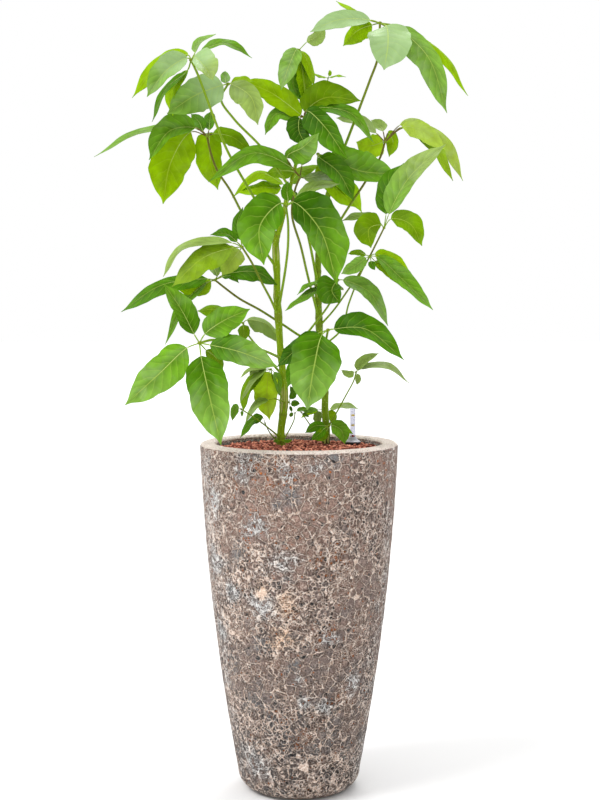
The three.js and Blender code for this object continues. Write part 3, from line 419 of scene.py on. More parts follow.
def seen(across, down, depth):
    """The point at this depth in millimetres that is seen at this place in the picture."""
    sight = AHEAD * FOCAL_LENGTH + UPWARD * (PICTURE_MIDDLE[1] - down)
    sight = sight + SIDEWAYS * (across - PICTURE_MIDDLE[0])
    return EYE + sight * ((depth * MM - EYE[1]) / sight[1])


def along(points, shares):
    """Points and directions at shares from 0 to 1 of a smooth curve through the points, each gap an equal
    share."""
    points = np.asarray(points, float)
    padded = np.vstack((2 * points[0] - points[1], points, 2 * points[-1] - points[-2]))
    gaps = len(points) - 1
    place = np.clip(shares, 0, 1) * gaps
    index = np.minimum(place.astype(int), gaps - 1)
    t = (place - index)[:, None]
    p0, p1, p2, p3 = (padded[index + i] for i in range(4))
    spans = ((p0, p1), (p1, p2), (p2, p3))
    d0, d1, d2 = (np.maximum(np.linalg.norm(b - a, axis=1, keepdims=True), 1e-9) ** 0.5 for a, b in spans)
    start = d1 * ((p1 - p0) / d0 - (p2 - p0) / (d0 + d1) + (p2 - p1) / d1)
    end = d1 * ((p2 - p1) / d1 - (p3 - p1) / (d1 + d2) + (p3 - p2) / d2)
    square = 3 * (p2 - p1) - 2 * start - end
    cube = 2 * (p1 - p2) + start + end
    place = p1 + t * (start + t * (square + t * cube))
    direction = start + t * (2 * square + 3 * t * cube)
    return place, direction / np.maximum(np.linalg.norm(direction, axis=1, keepdims=True), 1e-12)


def smooth_step(low, high, value):
    share = np.clip((value - low) / (high - low), 0, 1)
    return share * share * (3 - 2 * share)


def unit(vectors):
    return vectors / np.maximum(np.linalg.norm(vectors, axis=-1, keepdims=True), 1e-12)


def activate(obj, *others):
    """Selects obj and the others only, with obj active."""
    bpy.ops.object.select_all(action="DESELECT")
    for each in (obj, *others):
        each.select_set(True)
    bpy.context.view_layer.objects.active = obj
    return obj


def started(primitive, **settings):
    """A new primitive, with nothing else selected."""
    bpy.ops.object.select_all(action="DESELECT")
    primitive(**settings)
    return bpy.context.object


def joined(objects):
    activate(objects[0], *objects[1:])
    if len(objects) > 1:
        bpy.ops.object.join()
    return objects[0]


def smoothed(obj, degrees=40):
    activate(obj)
    bpy.ops.object.shade_smooth_by_angle(angle=math.radians(degrees))
    return obj


def handed_over(obj, name, slot, *nodes):
    """Names a finished piece, makes it ride on the one body and stand for its construction nodes."""
    obj.name = name
    obj.data.name = name
    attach(obj, "root")
    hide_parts(*nodes)
    return obj


def points_of(obj):
    co = np.empty(len(obj.data.vertices) * 3, np.float32)
    obj.data.vertices.foreach_get("co", co)
    return co.reshape(-1, 3).astype(float)


def place_points(obj, points):
    obj.data.vertices.foreach_set("co", np.asarray(points, np.float32).ravel())
    obj.data.update()


def paint(obj, name, colours):
    """Writes one colour for each point: colours is one colour or an array of them."""
    layer = obj.data.attributes.get(name) or obj.data.attributes.new(name, "FLOAT_COLOR", "POINT")
    count = len(obj.data.vertices)
    values = np.ones((count, 4), np.float32)
    values[:, :3] = np.broadcast_to(np.asarray(colours)[..., :3], (count, 3))
    layer.data.foreach_set("color", values.ravel())


def mark(obj, name, values):
    layer = obj.data.attributes.get(name) or obj.data.attributes.new(name, "FLOAT", "POINT")
    layer.data.foreach_set("value", np.asarray(values, np.float32))


def turned(profile, steps, x=0.0, y=0.0):
    """A closed body: the outline of radius and height spun round an upright axis at x, y. An outline that
    starts and ends on the axis is open there, and any other is closed."""
    obj = started(bpy.ops.mesh.primitive_circle_add, vertices=len(profile), radius=1)
    place_points(obj, [(radius, 0, height) for radius, height in profile])
    on_axis = profile[0][0] == 0 and profile[-1][0] == 0
    bpy.ops.object.mode_set(mode="EDIT")
    bpy.ops.mesh.select_all(action="DESELECT")
    bpy.ops.object.mode_set(mode="OBJECT")
    if on_axis:
        ends = {0, len(profile) - 1}
        for edge in obj.data.edges:
            edge.select = set(edge.vertices) == ends
        bpy.ops.object.mode_set(mode="EDIT")
        bpy.ops.mesh.select_mode(type="EDGE")
        bpy.ops.mesh.delete(type="EDGE")
        bpy.ops.object.mode_set(mode="OBJECT")
    bpy.ops.object.mode_set(mode="EDIT")
    bpy.ops.mesh.select_mode(type="VERT")
    bpy.ops.mesh.select_all(action="SELECT")
    bpy.ops.mesh.spin(steps=steps, angle=2 * math.pi, center=(0, 0, 0), axis=(0, 0, 1))
    bpy.ops.mesh.select_all(action="SELECT")
    bpy.ops.mesh.remove_doubles(threshold=0.01 * MM)
    bpy.ops.mesh.normals_make_consistent(inside=False)
    bpy.ops.object.mode_set(mode="OBJECT")
    place_points(obj, points_of(obj) + np.array((x, y, 0)))
    return obj


def arc(x, z, radius, start, end, steps):
    angles = np.radians(np.linspace(start, end, steps + 1))
    return [(x + radius * math.cos(a), z + radius * math.sin(a)) for a in angles]


blanks = {}


def rod_blank(sides, steps):
    """A straight rod of radius 1 and length 1 that all stalks, ribs and stems are bent from."""
    if (sides, steps) in blanks:
        return blanks[sides, steps]
    rod = started(
        bpy.ops.mesh.primitive_cylinder_add, vertices=sides, radius=1, depth=1, end_fill_type="TRIFAN",
    )
    bpy.ops.object.mode_set(mode="EDIT")
    bpy.ops.mesh.select_mode(type="EDGE")
    bpy.ops.mesh.select_all(action="DESELECT")
    bpy.ops.object.mode_set(mode="OBJECT")
    for edge in rod.data.edges:
        low, high = (rod.data.vertices[i].co.z for i in edge.vertices)
        edge.select = abs(high - low) > 0.5
    bpy.ops.object.mode_set(mode="EDIT")
    bpy.ops.mesh.subdivide(number_cuts=steps - 1)
    bpy.ops.object.mode_set(mode="OBJECT")
    rod.data.uv_layers[0].name = "blade"
    for layer in TINTS:
        rod.data.attributes.new(layer, "FLOAT_COLOR", "POINT")
    blanks[sides, steps] = rod
    return rod


def blade_blank():
    """A flat square of leaf that all blades are bent from: x is across the midrib, y from base to tip."""
    if "blade" in blanks:
        return blanks["blade"]
    sheet = started(bpy.ops.mesh.primitive_grid_add, x_subdivisions=14, y_subdivisions=30, size=2)
    sheet.data.uv_layers[0].name = "blade"
    for layer in TINTS:
        sheet.data.attributes.new(layer, "FLOAT_COLOR", "POINT")
    blanks["blade"] = sheet
    return sheet


def copy_of(blank):
    copied = blank.copy()
    copied.data = blank.data.copy()
    bpy.context.scene.collection.objects.link(copied)
    return copied


def put_blanks_away():
    for blank in blanks.values():
        bpy.data.objects.remove(blank)
    blanks.clear()


def bent_rod(points, radius_at, tint_at, sides=8, steps=20, shares=(0, 1)):
    """A rod along part of the curve through the points. radius_at and tint_at take the share along it."""
    rod = copy_of(rod_blank(sides, steps))
    co = points_of(rod)
    share = co[:, 2] + 0.5
    middle, direction = along(points, shares[0] + (shares[1] - shares[0]) * share)
    general = direction.mean(axis=0)
    beside = np.eye(3)[np.argmin(np.abs(general))]
    normal = unit(np.cross(direction, beside))
    binormal = np.cross(direction, normal)
    radius = radius_at(share)[:, None]
    place_points(rod, middle + normal * co[:, :1] * radius + binormal * co[:, 1:2] * radius)
    for layer in TINTS:
        paint(rod, layer, tint_at(share))
    return rod


def between(first, second, weight):
    """Colours from first to second, by a weight for each point."""
    weight = weight[:, None]
    return np.asarray(first)[None, :3] * (1 - weight) + np.asarray(second)[None, :3] * weight


def node(tree, kind, *values, stops=(), **settings):
    """Adds a node with its settings and links. Values fill the inputs that it shows, in their order, and
    those in a dict fill inputs by name. A value is a plain one, an output, or a node: its first output."""
    made = tree.nodes.new("ShaderNode" + kind)
    for key, value in settings.items():
        setattr(made, key, value)
    shown = iter([socket for socket in made.inputs if socket.enabled])
    wanted = []
    for value in values:
        named = value.items() if isinstance(value, dict) else [(None, value)]
        wanted += [(made.inputs[name] if name else next(shown), each) for name, each in named]
    for socket, value in wanted:
        if isinstance(value, bpy.types.Node):
            value = next(output for output in value.outputs if output.enabled)
        if isinstance(value, bpy.types.NodeSocket):
            tree.links.new(value, socket)
        else:
            socket.default_value = value
    for i, (position, hex_colour) in enumerate(stops):
        ramp = made.color_ramp.elements
        stop = ramp[i] if i < 2 else ramp.new(position)
        stop.position = position
        stop.color = linear(hex_colour)
    return made


def new_material(name):
    """An empty node material, what adds nodes to it, and the Object coordinates its patterns are laid on."""
    material = bpy.data.materials.new(name)
    material.use_nodes = True
    material.node_tree.nodes.clear()
    add = partial(node, material.node_tree)
    return material, add, add("TexCoord").outputs["Object"]


def blade_material(name, tint, vein_colour, roughness, vein_strength, quilt_shading, translucent):
    """A living leaf's skin. Its waxy upper side is quilted between the veins and gives broad soft highlights.
    Painted shade on one side of each space between the veins and along the midrib stands for the quilting's
    shading, and painted sheen adds soft pale patches to the highlights. The underside is flatter and duller
    with veins that stand out, and has less of that painted shade. Light on the far side glows through."""
    material, add, place = new_material(name)
    uv = add("SeparateXYZ", add("UVMap", uv_map="blade"))
    signed = add("Math", uv, 2, -1, operation="MULTIPLY_ADD")
    off_rib = add("Math", signed, operation="ABSOLUTE")
    # Side veins leave the midrib towards the tip, as many as a blade has
    slant = add("Math", off_rib, -VEIN_SLANT * SIDE_VEINS, operation="MULTIPLY")
    warp = add("TexNoise", place, 1 / (22 * MM), 1)
    row = add("Math", uv.outputs["Y"], SIDE_VEINS, slant, operation="MULTIPLY_ADD")
    bent = add("Math", warp, 0.7, row, operation="MULTIPLY_ADD")
    beside = add("Math", bent, 0.5, operation="PINGPONG")
    line = add("MapRange", beside, 0, 0.06, 1, 0, interpolation_type="SMOOTHSTEP")
    fade = add("MapRange", off_rib, 0.5, 0.95, vein_strength, 0)
    vein = add("Math", line, fade, operation="MULTIPLY")
    rib = add("MapRange", off_rib, 0, 0.05, 0.6, 0, interpolation_type="SMOOTHSTEP")
    pale = add("Math", vein, rib, operation="MAXIMUM")
    # The green varies over a centimetre or two. Painted shade darkens it on one side of each space between
    # the side veins, like the shading of a quilted blade, and along the midrib's valley
    blotch = add("TexNoise", place, 1 / (24 * MM), 3)
    uneven = add("MapRange", blotch, 0.3, 0.7, 0.8, 1.2)
    stripe = add("Math", bent, operation="FRACT")
    quilt_shade = add("MapRange", stripe, 0, 1, 1 + 0.1 * quilt_shading, 1 - 0.16 * quilt_shading)
    valley_shade = add("MapRange", off_rib, 0.04, 0.5, 1 - 0.3 * quilt_shading, 1.06)
    blotch_and_quilt_shade = add("Math", uneven, quilt_shade, operation="MULTIPLY")
    deeper = add("Math", blotch_and_quilt_shade, valley_shade, operation="MULTIPLY")
    own = add("Attribute", attribute_name=tint)
    # Leaflets that mirror the sky carry more wax than those with the light behind them: it evens out the
    # painted shade on their green, and a painted sheen lies on it in soft pale patches that stand for the
    # sky's reflection. Their colour tells which they are, by its blue
    waxy = add("SeparateColor", own).outputs["Blue"]
    relief = add("MapRange", waxy, 0.02, 0.16, 1, 0.3)
    evened = add("Mix", relief, 1, deeper, data_type="FLOAT")
    shaded = add("VectorMath", own, evened, operation="SCALE")
    patchy = add("TexNoise", place, 1 / (34 * MM), 2, {"Distortion": 0.6})
    most = add("MapRange", waxy, 0.002, 0.03, 0.02, 0.1)
    painted_sheen = add("MapRange", patchy, 0.46, 0.66, 0, most, interpolation_type="SMOOTHSTEP")
    with_painted_sheen = add("Mix", painted_sheen, shaded, linear("#cfe0bb"), data_type="RGBA")
    veined = add("Mix", pale, with_painted_sheen, linear(vein_colour), data_type="RGBA")
    grain = add("TexNoise", place, 1 / (2.2 * MM), 2)
    height = add("Math", line, 1.2, grain, operation="MULTIPLY_ADD")
    bump = add("Bump", {"Height": height, "Strength": 0.2, "Distance": 0.6 * MM})
    rough = add("MapRange", blotch, 0.3, 0.7, roughness - 0.05, roughness + 0.07)
    wax = add("MapRange", waxy, 0, 0.2, 0.04, 0.3)
    skin = add("BsdfPrincipled", {
        "Base Color": veined, "Roughness": rough, "IOR": 1.45, "Specular IOR Level": wax, "Normal": bump,
    })
    glow = add("BsdfTranslucent", {"Color": veined, "Normal": bump})
    add("OutputMaterial", add("MixShader", translucent, skin, glow))
    return material


def stalk_material():
    """A fleshy leaf stalk: smooth green skin with fine lengthwise streaks and a soft shine."""
    material, add, place = new_material("stalk_skin")
    streak = add("TexNoise", add("Mapping", place, {"Scale": (1, 1, 0.12)}), 1 / (1.6 * MM), 3)
    shade = add("MapRange", streak, 0.3, 0.7, 0.78, 1.18)
    own = add("Attribute", attribute_name="tint")
    tinted = add("VectorMath", own, shade, operation="SCALE")
    bump = add("Bump", {"Height": streak, "Strength": 0.25, "Distance": 0.4 * MM})
    add("OutputMaterial", add("BsdfPrincipled", {
        "Base Color": tinted, "Roughness": 0.42, "Specular IOR Level": 0.15, "Normal": bump,
    }))
    return material


def stem_material():
    """A young green stem, not yet woody: firm skin with lengthwise ridges and pale dots."""
    material, add, place = new_material("green_stem_bark")
    ridges = add("TexNoise", add("Mapping", place, {"Scale": (1, 1, 0.1)}), 1 / (2.6 * MM), 4)
    shade = add("MapRange", ridges, 0.28, 0.72, 0.76, 1.26)
    dot = add("MapRange", add("TexVoronoi", place, 1 / (6 * MM)), 0.1, 0.17, 0.7, 0)
    own = add("Attribute", attribute_name="tint")
    tinted = add("VectorMath", own, shade, operation="SCALE")
    dotted = add("Mix", dot, tinted, linear("#c3cf8a"), data_type="RGBA")
    height = add("Math", ridges, dot, operation="ADD")
    bump = add("Bump", {"Height": height, "Strength": 0.4, "Distance": 0.8 * MM})
    add("OutputMaterial", add("BsdfPrincipled", {
        "Base Color": dotted, "Roughness": 0.48, "Specular IOR Level": 0.15, "Normal": bump,
    }))
    return material


def clay_material():
    """Burnt clay granules: matt, porous, each lump of its own red, darker in its pores."""
    material, add, place = new_material("expanded_clay")
    pores = add("TexVoronoi", place, 1 / (1.5 * MM))
    pore = add("MapRange", pores, 0.12, 0.45, 0.62, 1.08)
    own = add("Attribute", attribute_name="tint")
    tinted = add("VectorMath", own, pore, operation="SCALE")
    bump = add("Bump", {"Height": pores, "Strength": 0.6, "Distance": 0.5 * MM})
    add("OutputMaterial", add("BsdfPrincipled", {
        "Base Color": tinted, "Roughness": 0.9, "Specular IOR Level": 0.25, "Normal": bump,
    }))
    return material


def filling_material(name, lump, first, second, roughness):
    """Loose or foamed filling that shows only when the planting is taken apart: lumps of two shades."""
    material, add, place = new_material(name)
    cells = add("TexVoronoi", place, 1 / lump)
    grain = add("TexNoise", place, 3 / lump, 3)
    mixed = add("Math", cells, grain, operation="MULTIPLY")
    tone = add("ValToRGB", mixed, stops=((0.05, second), (0.4, first)))
    bump = add("Bump", {"Height": cells, "Strength": 0.8, "Distance": lump / 5}, invert=True)
    add("OutputMaterial", add("BsdfPrincipled", {"Base Color": tone, "Roughness": roughness, "Normal": bump}))
    return material


def plastic_material(name, main, speck, roughness):
    """Injection-moulded plastic: even colour with faint cloudiness and a fine satin grain in the shine."""
    material, add, place = new_material(name)
    cloud = add("TexNoise", place, 1 / (9 * MM), 2)
    tone = add("ValToRGB", cloud, stops=((0.35, main), (0.7, speck)))
    fine = add("TexNoise", place, 1 / (0.8 * MM), 1)
    bump = add("Bump", {"Height": fine, "Strength": 0.15, "Distance": 0.1 * MM})
    rough = add("MapRange", fine, 0.3, 0.7, roughness - 0.04, roughness + 0.06)
    add("OutputMaterial", add("BsdfPrincipled", {"Base Color": tone, "Roughness": rough, "Normal": bump}))
    return material


def glaze_material(look):
    """Crater glaze on stoneware: it bubbled in the kiln, and burst bubbles left round pits of many sizes in a
    matt grey to brown ground, with a thin broken net of cream glaze drawn up between them. Where it lay thick
    it is white or peach round small pits. Rust, slate and charcoal have settled here and there. Painted shade
    darkens the crevices, the lower wall and the right side, the left side is painted lighter, and the white
    mark also carries a painted highlight on the sides seen edge on."""
    material, add, place = new_material("crater_glaze")
    wobble = add("TexNoise", place, 1 / (12 * MM), 4, 0.62)
    shift = add("VectorMath", wobble.outputs["Color"], (0.5, 0.5, 0.5), operation="SUBTRACT")
    warped = add("VectorMath", shift, (8 * MM, 8 * MM, 8 * MM), place, operation="MULTIPLY_ADD")
    across = add("SeparateXYZ", warped)
    height = across.outputs["Z"]
    marks = {name: add("Attribute", attribute_name=name).outputs["Fac"]
             for name in (*PATCH_KINDS, "coarse", "bare", "dark_wall_band")}
    speck = add("TexNoise", place, 1 / (3 * MM), 4, 0.75)
    broken = add("TexNoise", place, 1 / (10 * MM), 3)
    region = add("TexNoise", place, 1 / (45 * MM), 2)
    # How thick the glaze lies: in the white and peach patches, in clouds of fine pits, and on the left
    tattered = add("Math", broken, speck, operation="ADD")
    ragged = add("Math", tattered, 1.4, -1.4, operation="MULTIPLY_ADD")
    patches = {}
    for kind, most in (("white", 0.85), ("peach", 0.8), ("slate", 0.9)):
        edge = add("Math", ragged, marks[kind], operation="ADD")
        patches[kind] = add("MapRange", edge, 0.2, 1, 0, most)
    cloud = add("MapRange", region, 0.45, 0.66, 0, 0.55)
    patch = add("Math", patches["white"], 0.75, patches["peach"], operation="MULTIPLY_ADD")
    left = add("MapRange", across, -0.18, 0, 0.3, 0)
    clouded = add("Math", cloud, left, operation="ADD")
    thick = add("Math", patch, clouded, operation="MAXIMUM")
    fine = add("MapRange", marks["coarse"], 0.25, 0.75, 1, 0.3)
    crowded = add("MapRange", thick, 0.05, 0.5, 0.25, 1)
    # Where the glaze is thinner the net breaks off
    kept = add("MapRange", broken, 0.4, 0.54, 0.3, 1)
    # Large pits touch along thin ridges, with painted shade in the crevices beside the ridges. Smaller round
    # ones lie between them, each with a raised ring, painted shade in the crevice inside it, and more of the
    # glaze between them where it lay thick
    raised, deep, shades, hollows = None, None, [], []
    sizes = (look.large_pit, look.middle_pit, look.small_pit)
    for size, seed, share in zip(sizes, (0, 3.1, 7.7), (None, fine, crowded)):
        moved = add("VectorMath", warped, (seed, seed, seed), operation="ADD")
        cells = {"Vector": moved, "Scale": 1 / size, "Randomness": 0.95}
        pit = add("TexVoronoi", cells)
        hollows.append(pit)
        shades.append(add("SeparateColor", pit.outputs["Color"]))
        if share:
            line = add("ValToRGB", pit, stops=(
                (0.35, "#000000"), (0.4, "#ffffff"), (0.48, "#e8e8e8"), (0.57, "#303030"),
            ))
            crevice_shade = add("ValToRGB", pit, stops=(
                (0.12, "#ffffff"), (0.34, "#8a8580"), (0.48, "#ffffff"), (0.74, "#b0aba6"),
            ))
        else:
            edge = add("TexVoronoi", cells, feature="DISTANCE_TO_EDGE")
            line = add("MapRange", edge, 0.025, 0.06, 1, 0)
            crevice_shade = add("MapRange", edge, 0.06, 0.17, 0.42, 1)
        thin = add("Math", line, kept, operation="MULTIPLY")
        lower = add("Math", thick, -0.24 if share else -0.06, 0.84, operation="MULTIPLY_ADD")
        upper = add("Math", lower, 0.07, operation="ADD")
        corner = add("MapRange", pit, lower, upper, 0, 1)
        shown = add("Math", thin, corner, operation="MAXIMUM")
        if share:
            shown = add("Math", shown, share, operation="MULTIPLY")
            shown = add("Math", shown, raised, operation="MAXIMUM")
            shaded = add("Mix", share, 1, crevice_shade, data_type="FLOAT")
            crevice_shade = add("Math", shaded, deep, operation="MULTIPLY")
        # deep holds the painted crevice shade of every pit size so far
        raised, deep = shown, crevice_shade
    # The ground: each large pit has its own grey or brown, and slate lies over it in places and lower down
    ground = add("ValToRGB", shades[0], stops=(
        (0, "#6c5851"), (0.2, "#927468"), (0.45, "#a38172"), (0.65, "#897771"), (0.85, "#aa8677"),
        (1, "#757678"),
    ))
    browner = add("Math", marks["coarse"], 0.6, operation="MULTIPLY")
    brown = add("Mix", browner, ground, linear("#a48374"), data_type="RGBA")
    lower_down = add("MapRange", height, 0.1, 0.55, 0.7, 0.1)
    cooler = add("MapRange", region, 0.62, 0.42, 0, lower_down)
    slaty = add("Math", cooler, patches["slate"], operation="MAXIMUM")
    slated = add("Mix", slaty, brown, linear("#757d82"), data_type="RGBA")
    # Pits of middle size are darker or paler, some of them are filled with charcoal, and small ones with rust
    holes = [add("MapRange", away, 0.36, 0.42, 1, 0) for away in hollows]
    own = add("MapRange", shades[1], 0, 1, 0.5, 1.2)
    inside = add("Mix", holes[1], 1, own, data_type="FLOAT")
    filled = add("Mix", 1, slated, inside, data_type="RGBA", blend_type="MULTIPLY")
    for kind, level, always, tone in (("rust", 2, 0.08, "#b5652c"), ("rust", 1, 0, "#b0683a"),
                                      ("charcoal", 1, 0.1, "#38393c")):
        likely = add("Math", marks[kind], 0.9, always, operation="MULTIPLY_ADD")
        drawn = add("Math", shades[level].outputs["Green"], likely, operation="LESS_THAN")
        stained = add("Math", drawn, holes[level], operation="MULTIPLY")
        filled = add("Mix", stained, filled, linear(tone), data_type="RGBA")
    # Painted shade: the glaze darkens towards the foot
    painted_low_shade = add("MapRange", height, 0.05, 0.58, 0.43, 0.96)
    dust = add("MapRange", speck, 0.32, 0.68, 0.42, 1.7)
    # Painted light and shade: the left side, towards the key light, is lighter and the right side darker
    painted_side_light = add("MapRange", across, -0.18, 0.18, 1.2, 0.86)
    # The speckle is multiplied by all the painted shade: towards the foot, on the right side and in the
    # crevices
    grain = dust
    for share in (add("Math", painted_low_shade, painted_side_light, operation="MULTIPLY"), deep):
        grain = add("Math", grain, share, operation="MULTIPLY")
    glazed = add("VectorMath", filled, grain, operation="SCALE")
    # What stands up is cream, or white or peach in those patches
    standing = add("ValToRGB", speck, stops=((0.34, "#957865"), (0.48, "#d2b9a8"), (0.62, "#f4eae1")))
    for kind, stops in (("white", ((0.36, "#9c9d9f"), (0.5, "#d6d8d8"), (0.64, "#f2f2f0"))),
                        ("peach", ((0.36, "#a87e62"), (0.5, "#e2bd9e"), (0.64, "#f3e2d3")))):
        standing = add("Mix", patches[kind], standing, add("ValToRGB", speck, stops=stops), data_type="RGBA")
    # The rim was wiped before firing. Inside, the wall just above the granules is dark speckled grey
    worn = add("Math", broken, 0.7, marks["bare"], operation="MULTIPLY_ADD")
    rim_tone = add("ValToRGB", speck, stops=((0.3, "#8c7a6e"), (0.42, "#d3c2b5"), (0.56, "#eee2d9")))
    dark_speckle = add("ValToRGB", speck, stops=((0.42, "#343334"), (0.5, "#8a8582"), (0.58, "#d6cec6")))
    # The foot is bare burnt clay
    foot = add("MapRange", height, 2 * MM, 6 * MM, 0.85, 0)
    wiped = add("MapRange", worn, 0.65, 0.9, 0, 1)
    for share, tone in ((raised, standing), (wiped, rim_tone), (marks["dark_wall_band"], dark_speckle),
                        (foot, linear("#5e3a24"))):
        glazed = add("Mix", share, glazed, tone, data_type="RGBA")
    relief = add("Math", raised, 1.4, speck, operation="MULTIPLY_ADD")
    bump = add("Bump", {"Height": relief, "Strength": 0.9, "Distance": 1.6 * MM})
    rough = add("MapRange", raised, 0, 1, 0.9, 0.6)
    add("OutputMaterial", add("BsdfPrincipled", {
        "Base Color": glazed, "Roughness": rough, "IOR": 1.5, "Specular IOR Level": 0.25, "Normal": bump,
    }))
    return material


def tube_material():
    """Extruded acrylic tube, polished and faintly grey: its thin wall takes a little of the light that
    passes, and shines where it is seen edge on."""
    material, add, place = new_material("clear_acrylic")
    haze = add("TexNoise", place, 1 / (4 * MM), 2)
    tone = add("ValToRGB", haze, stops=((0.3, "#ebebf0"), (0.7, "#f0f0f3")))
    edge = add("MapRange", add("LayerWeight", 0.35).outputs["Facing"], 0.3, 1, 0.04, 0.5)
    skin = add("BsdfPrincipled", {"Base Color": linear("#cfcfd8"), "Roughness": 0.12, "IOR": 1.49})
    add("OutputMaterial", add("MixShader", edge, add("BsdfTransparent", tone), skin))
    return material


class PlanterLook(bpy.types.PropertyGroup):
    around: bpy.props.IntProperty(name="Facets around", description="Steps round the planter's outside",
                                  default=396, min=64, max=420)
    upward: bpy.props.IntProperty(name="Facets upward", description="Steps up the planter's outside",
                                  default=205, min=32, max=215)
    large_pit: length("Large pits", "Distance between the largest pits in the glaze", 18)
    middle_pit: length("Middle pits", "Distance between the pits of middle size", 10.5)
    small_pit: length("Small pits", "Distance between the smallest pits that show", 6)
    relief: length("Relief", "How deep the large pits are", 1.1)
    swell: length("Swell", "How uneven the thrown wall is", 0.9)


class GranuleLook(bpy.types.PropertyGroup):
    spacing: length("Spacing", "Distance between neighbouring granules", 7.2)
    smallest: length("Smallest", "Diameter of the smallest granules", 4.8)
    largest: length("Largest", "Diameter of the largest granules", 8)
    light: colour("Light clay", "The palest granules", "#e0977d")
    middle: colour("Middle clay", "Most granules", "#9c5543")
    dark: colour("Dark clay", "The hardest burnt granules", "#54261f")


class FoliageLook(bpy.types.PropertyGroup):
    thickness: length("Blade thickness", "Thickness of a leaf blade", 0.7)
    rib: length("Midrib", "Radius of a leaflet's own stalk where its midrib starts", 1.15)
    fold: factor("Fold", "How far the halves of a blade are raised", 0.17)
    wave: factor("Wave", "How much a blade's margin waves", 0.09)
    quilting: length("Quilting", "How far a blade swells between its side veins", 0.45)
    # Leaf tones with painted light: deep is painted shade, for leaflets under others near the knuckle; dark
    # is old leaflets' green with painted shade; fresh is green with painted light; pale is partly young
    # leaflets' own paler green and partly painted light; grey and sheen are painted reflection of the sky on
    # the wax; lime, olive, bright, straw and moss are greens with a painted glow of the light behind them
    deep: colour("Deepest leaf", "Leaflets under others, near the knuckle", "#3a6806")
    dark: colour("Dark leaf", "Old leaflets in the shade", "#4e800a")
    mid: colour("Leaf", "Grown leaflets", "#699b20")
    fresh: colour("Fresh leaf", "Grown leaflets in full light", "#7aa63c")
    grey: colour("Grey leaf", "Leaflets that are seen nearly edge on", "#7c9a3c")
    sheen: colour("Shining leaf", "Leaflets whose wax mirrors the sky", "#9dbf7c")
    pale: colour("Pale leaf", "Young or brightly lit leaflets", "#8faa50")
    lime: colour("Lit through", "Leaflets with the light behind them", "#96c004")
    olive: colour("Lit through, old", "Old leaflets with a little light behind them", "#719807")
    bright: colour("Lit through, bright", "Leaflets that turn away from the light behind them", "#c4ec26")
    straw: colour("Lit through, pale", "Young leaflets with the light behind them", "#b0cc48")
    moss: colour("Lit through, dull", "Grown leaflets with a little light behind them", "#8aad1c")
    under: colour("Underside", "The underside of grown leaflets", "#8ca852")
    rib_tone: colour("Midrib", "Midribs and side veins", "#b3c76a")
    stalk_green: colour("Green stalk", "Leaf stalks near the stem", "#82a41c")
    stalk_brown: colour("Brown stalk", "Leaf stalks near the leaflets", "#665a1e")
    stem_left: colour("Front stem", "The stem that stands further forward", "#82a008")
    stem_right: colour("Back stem", "The stem that stands further back", "#718e0e")
    scar: colour("Leaf scar", "Rings on the stem where leaves were", "#6a6a24")
    # The foot of the stem that stands further back is dark brown near the granules
    dark_foot: colour("Cork", "Old skin at the foot of the stem that stands further back", "#3a2416")
    sheath: colour("Sheath", "Pale strips round the stem", "#b3bb62")


class StageLook(bpy.types.PropertyGroup):
    surroundings: factor("Surroundings", "Light from all round, as a share of white", 1, 4)
    key: factor("Key light", "Strength of the broad light from the upper left", 1.5, 10)
    back: factor("Back light", "Strength of the light from above and behind", 0.9, 10)
    softness: bpy.props.FloatProperty(
        name="Softness", description="How wide both lights are as the plant sees them",
        default=math.radians(24), min=0, max=math.pi, unit="ROTATION",
    )
    floor_light: colour("Floor", "The plain floor", "#eeeeee")
    floor_dark: colour("Floor, darker", "The plain floor where it is a little darker", "#e9e9e9")


def outer_radius(height):
    share = (height - FOOT_CURVE) / (SIDE_TOP - FOOT_CURVE)
    straight = FOOT_CURVE_TOP_RADIUS + (RIM_RADIUS - FOOT_CURVE_TOP_RADIUS) * share
    bulge = MIDDLE_RADIUS - (FOOT_CURVE_TOP_RADIUS + RIM_RADIUS) / 2
    return straight + 4 * bulge * share * (1 - share)


def on_planter(across, down):
    """The point of the planter's front that is seen at this place in the picture."""
    depth = -RIM_RADIUS
    for _ in range(4):
        place = seen(across, down, depth / MM)
        depth = -math.sqrt(max(0, outer_radius(place[2]) ** 2 - place[0] ** 2))
    return place


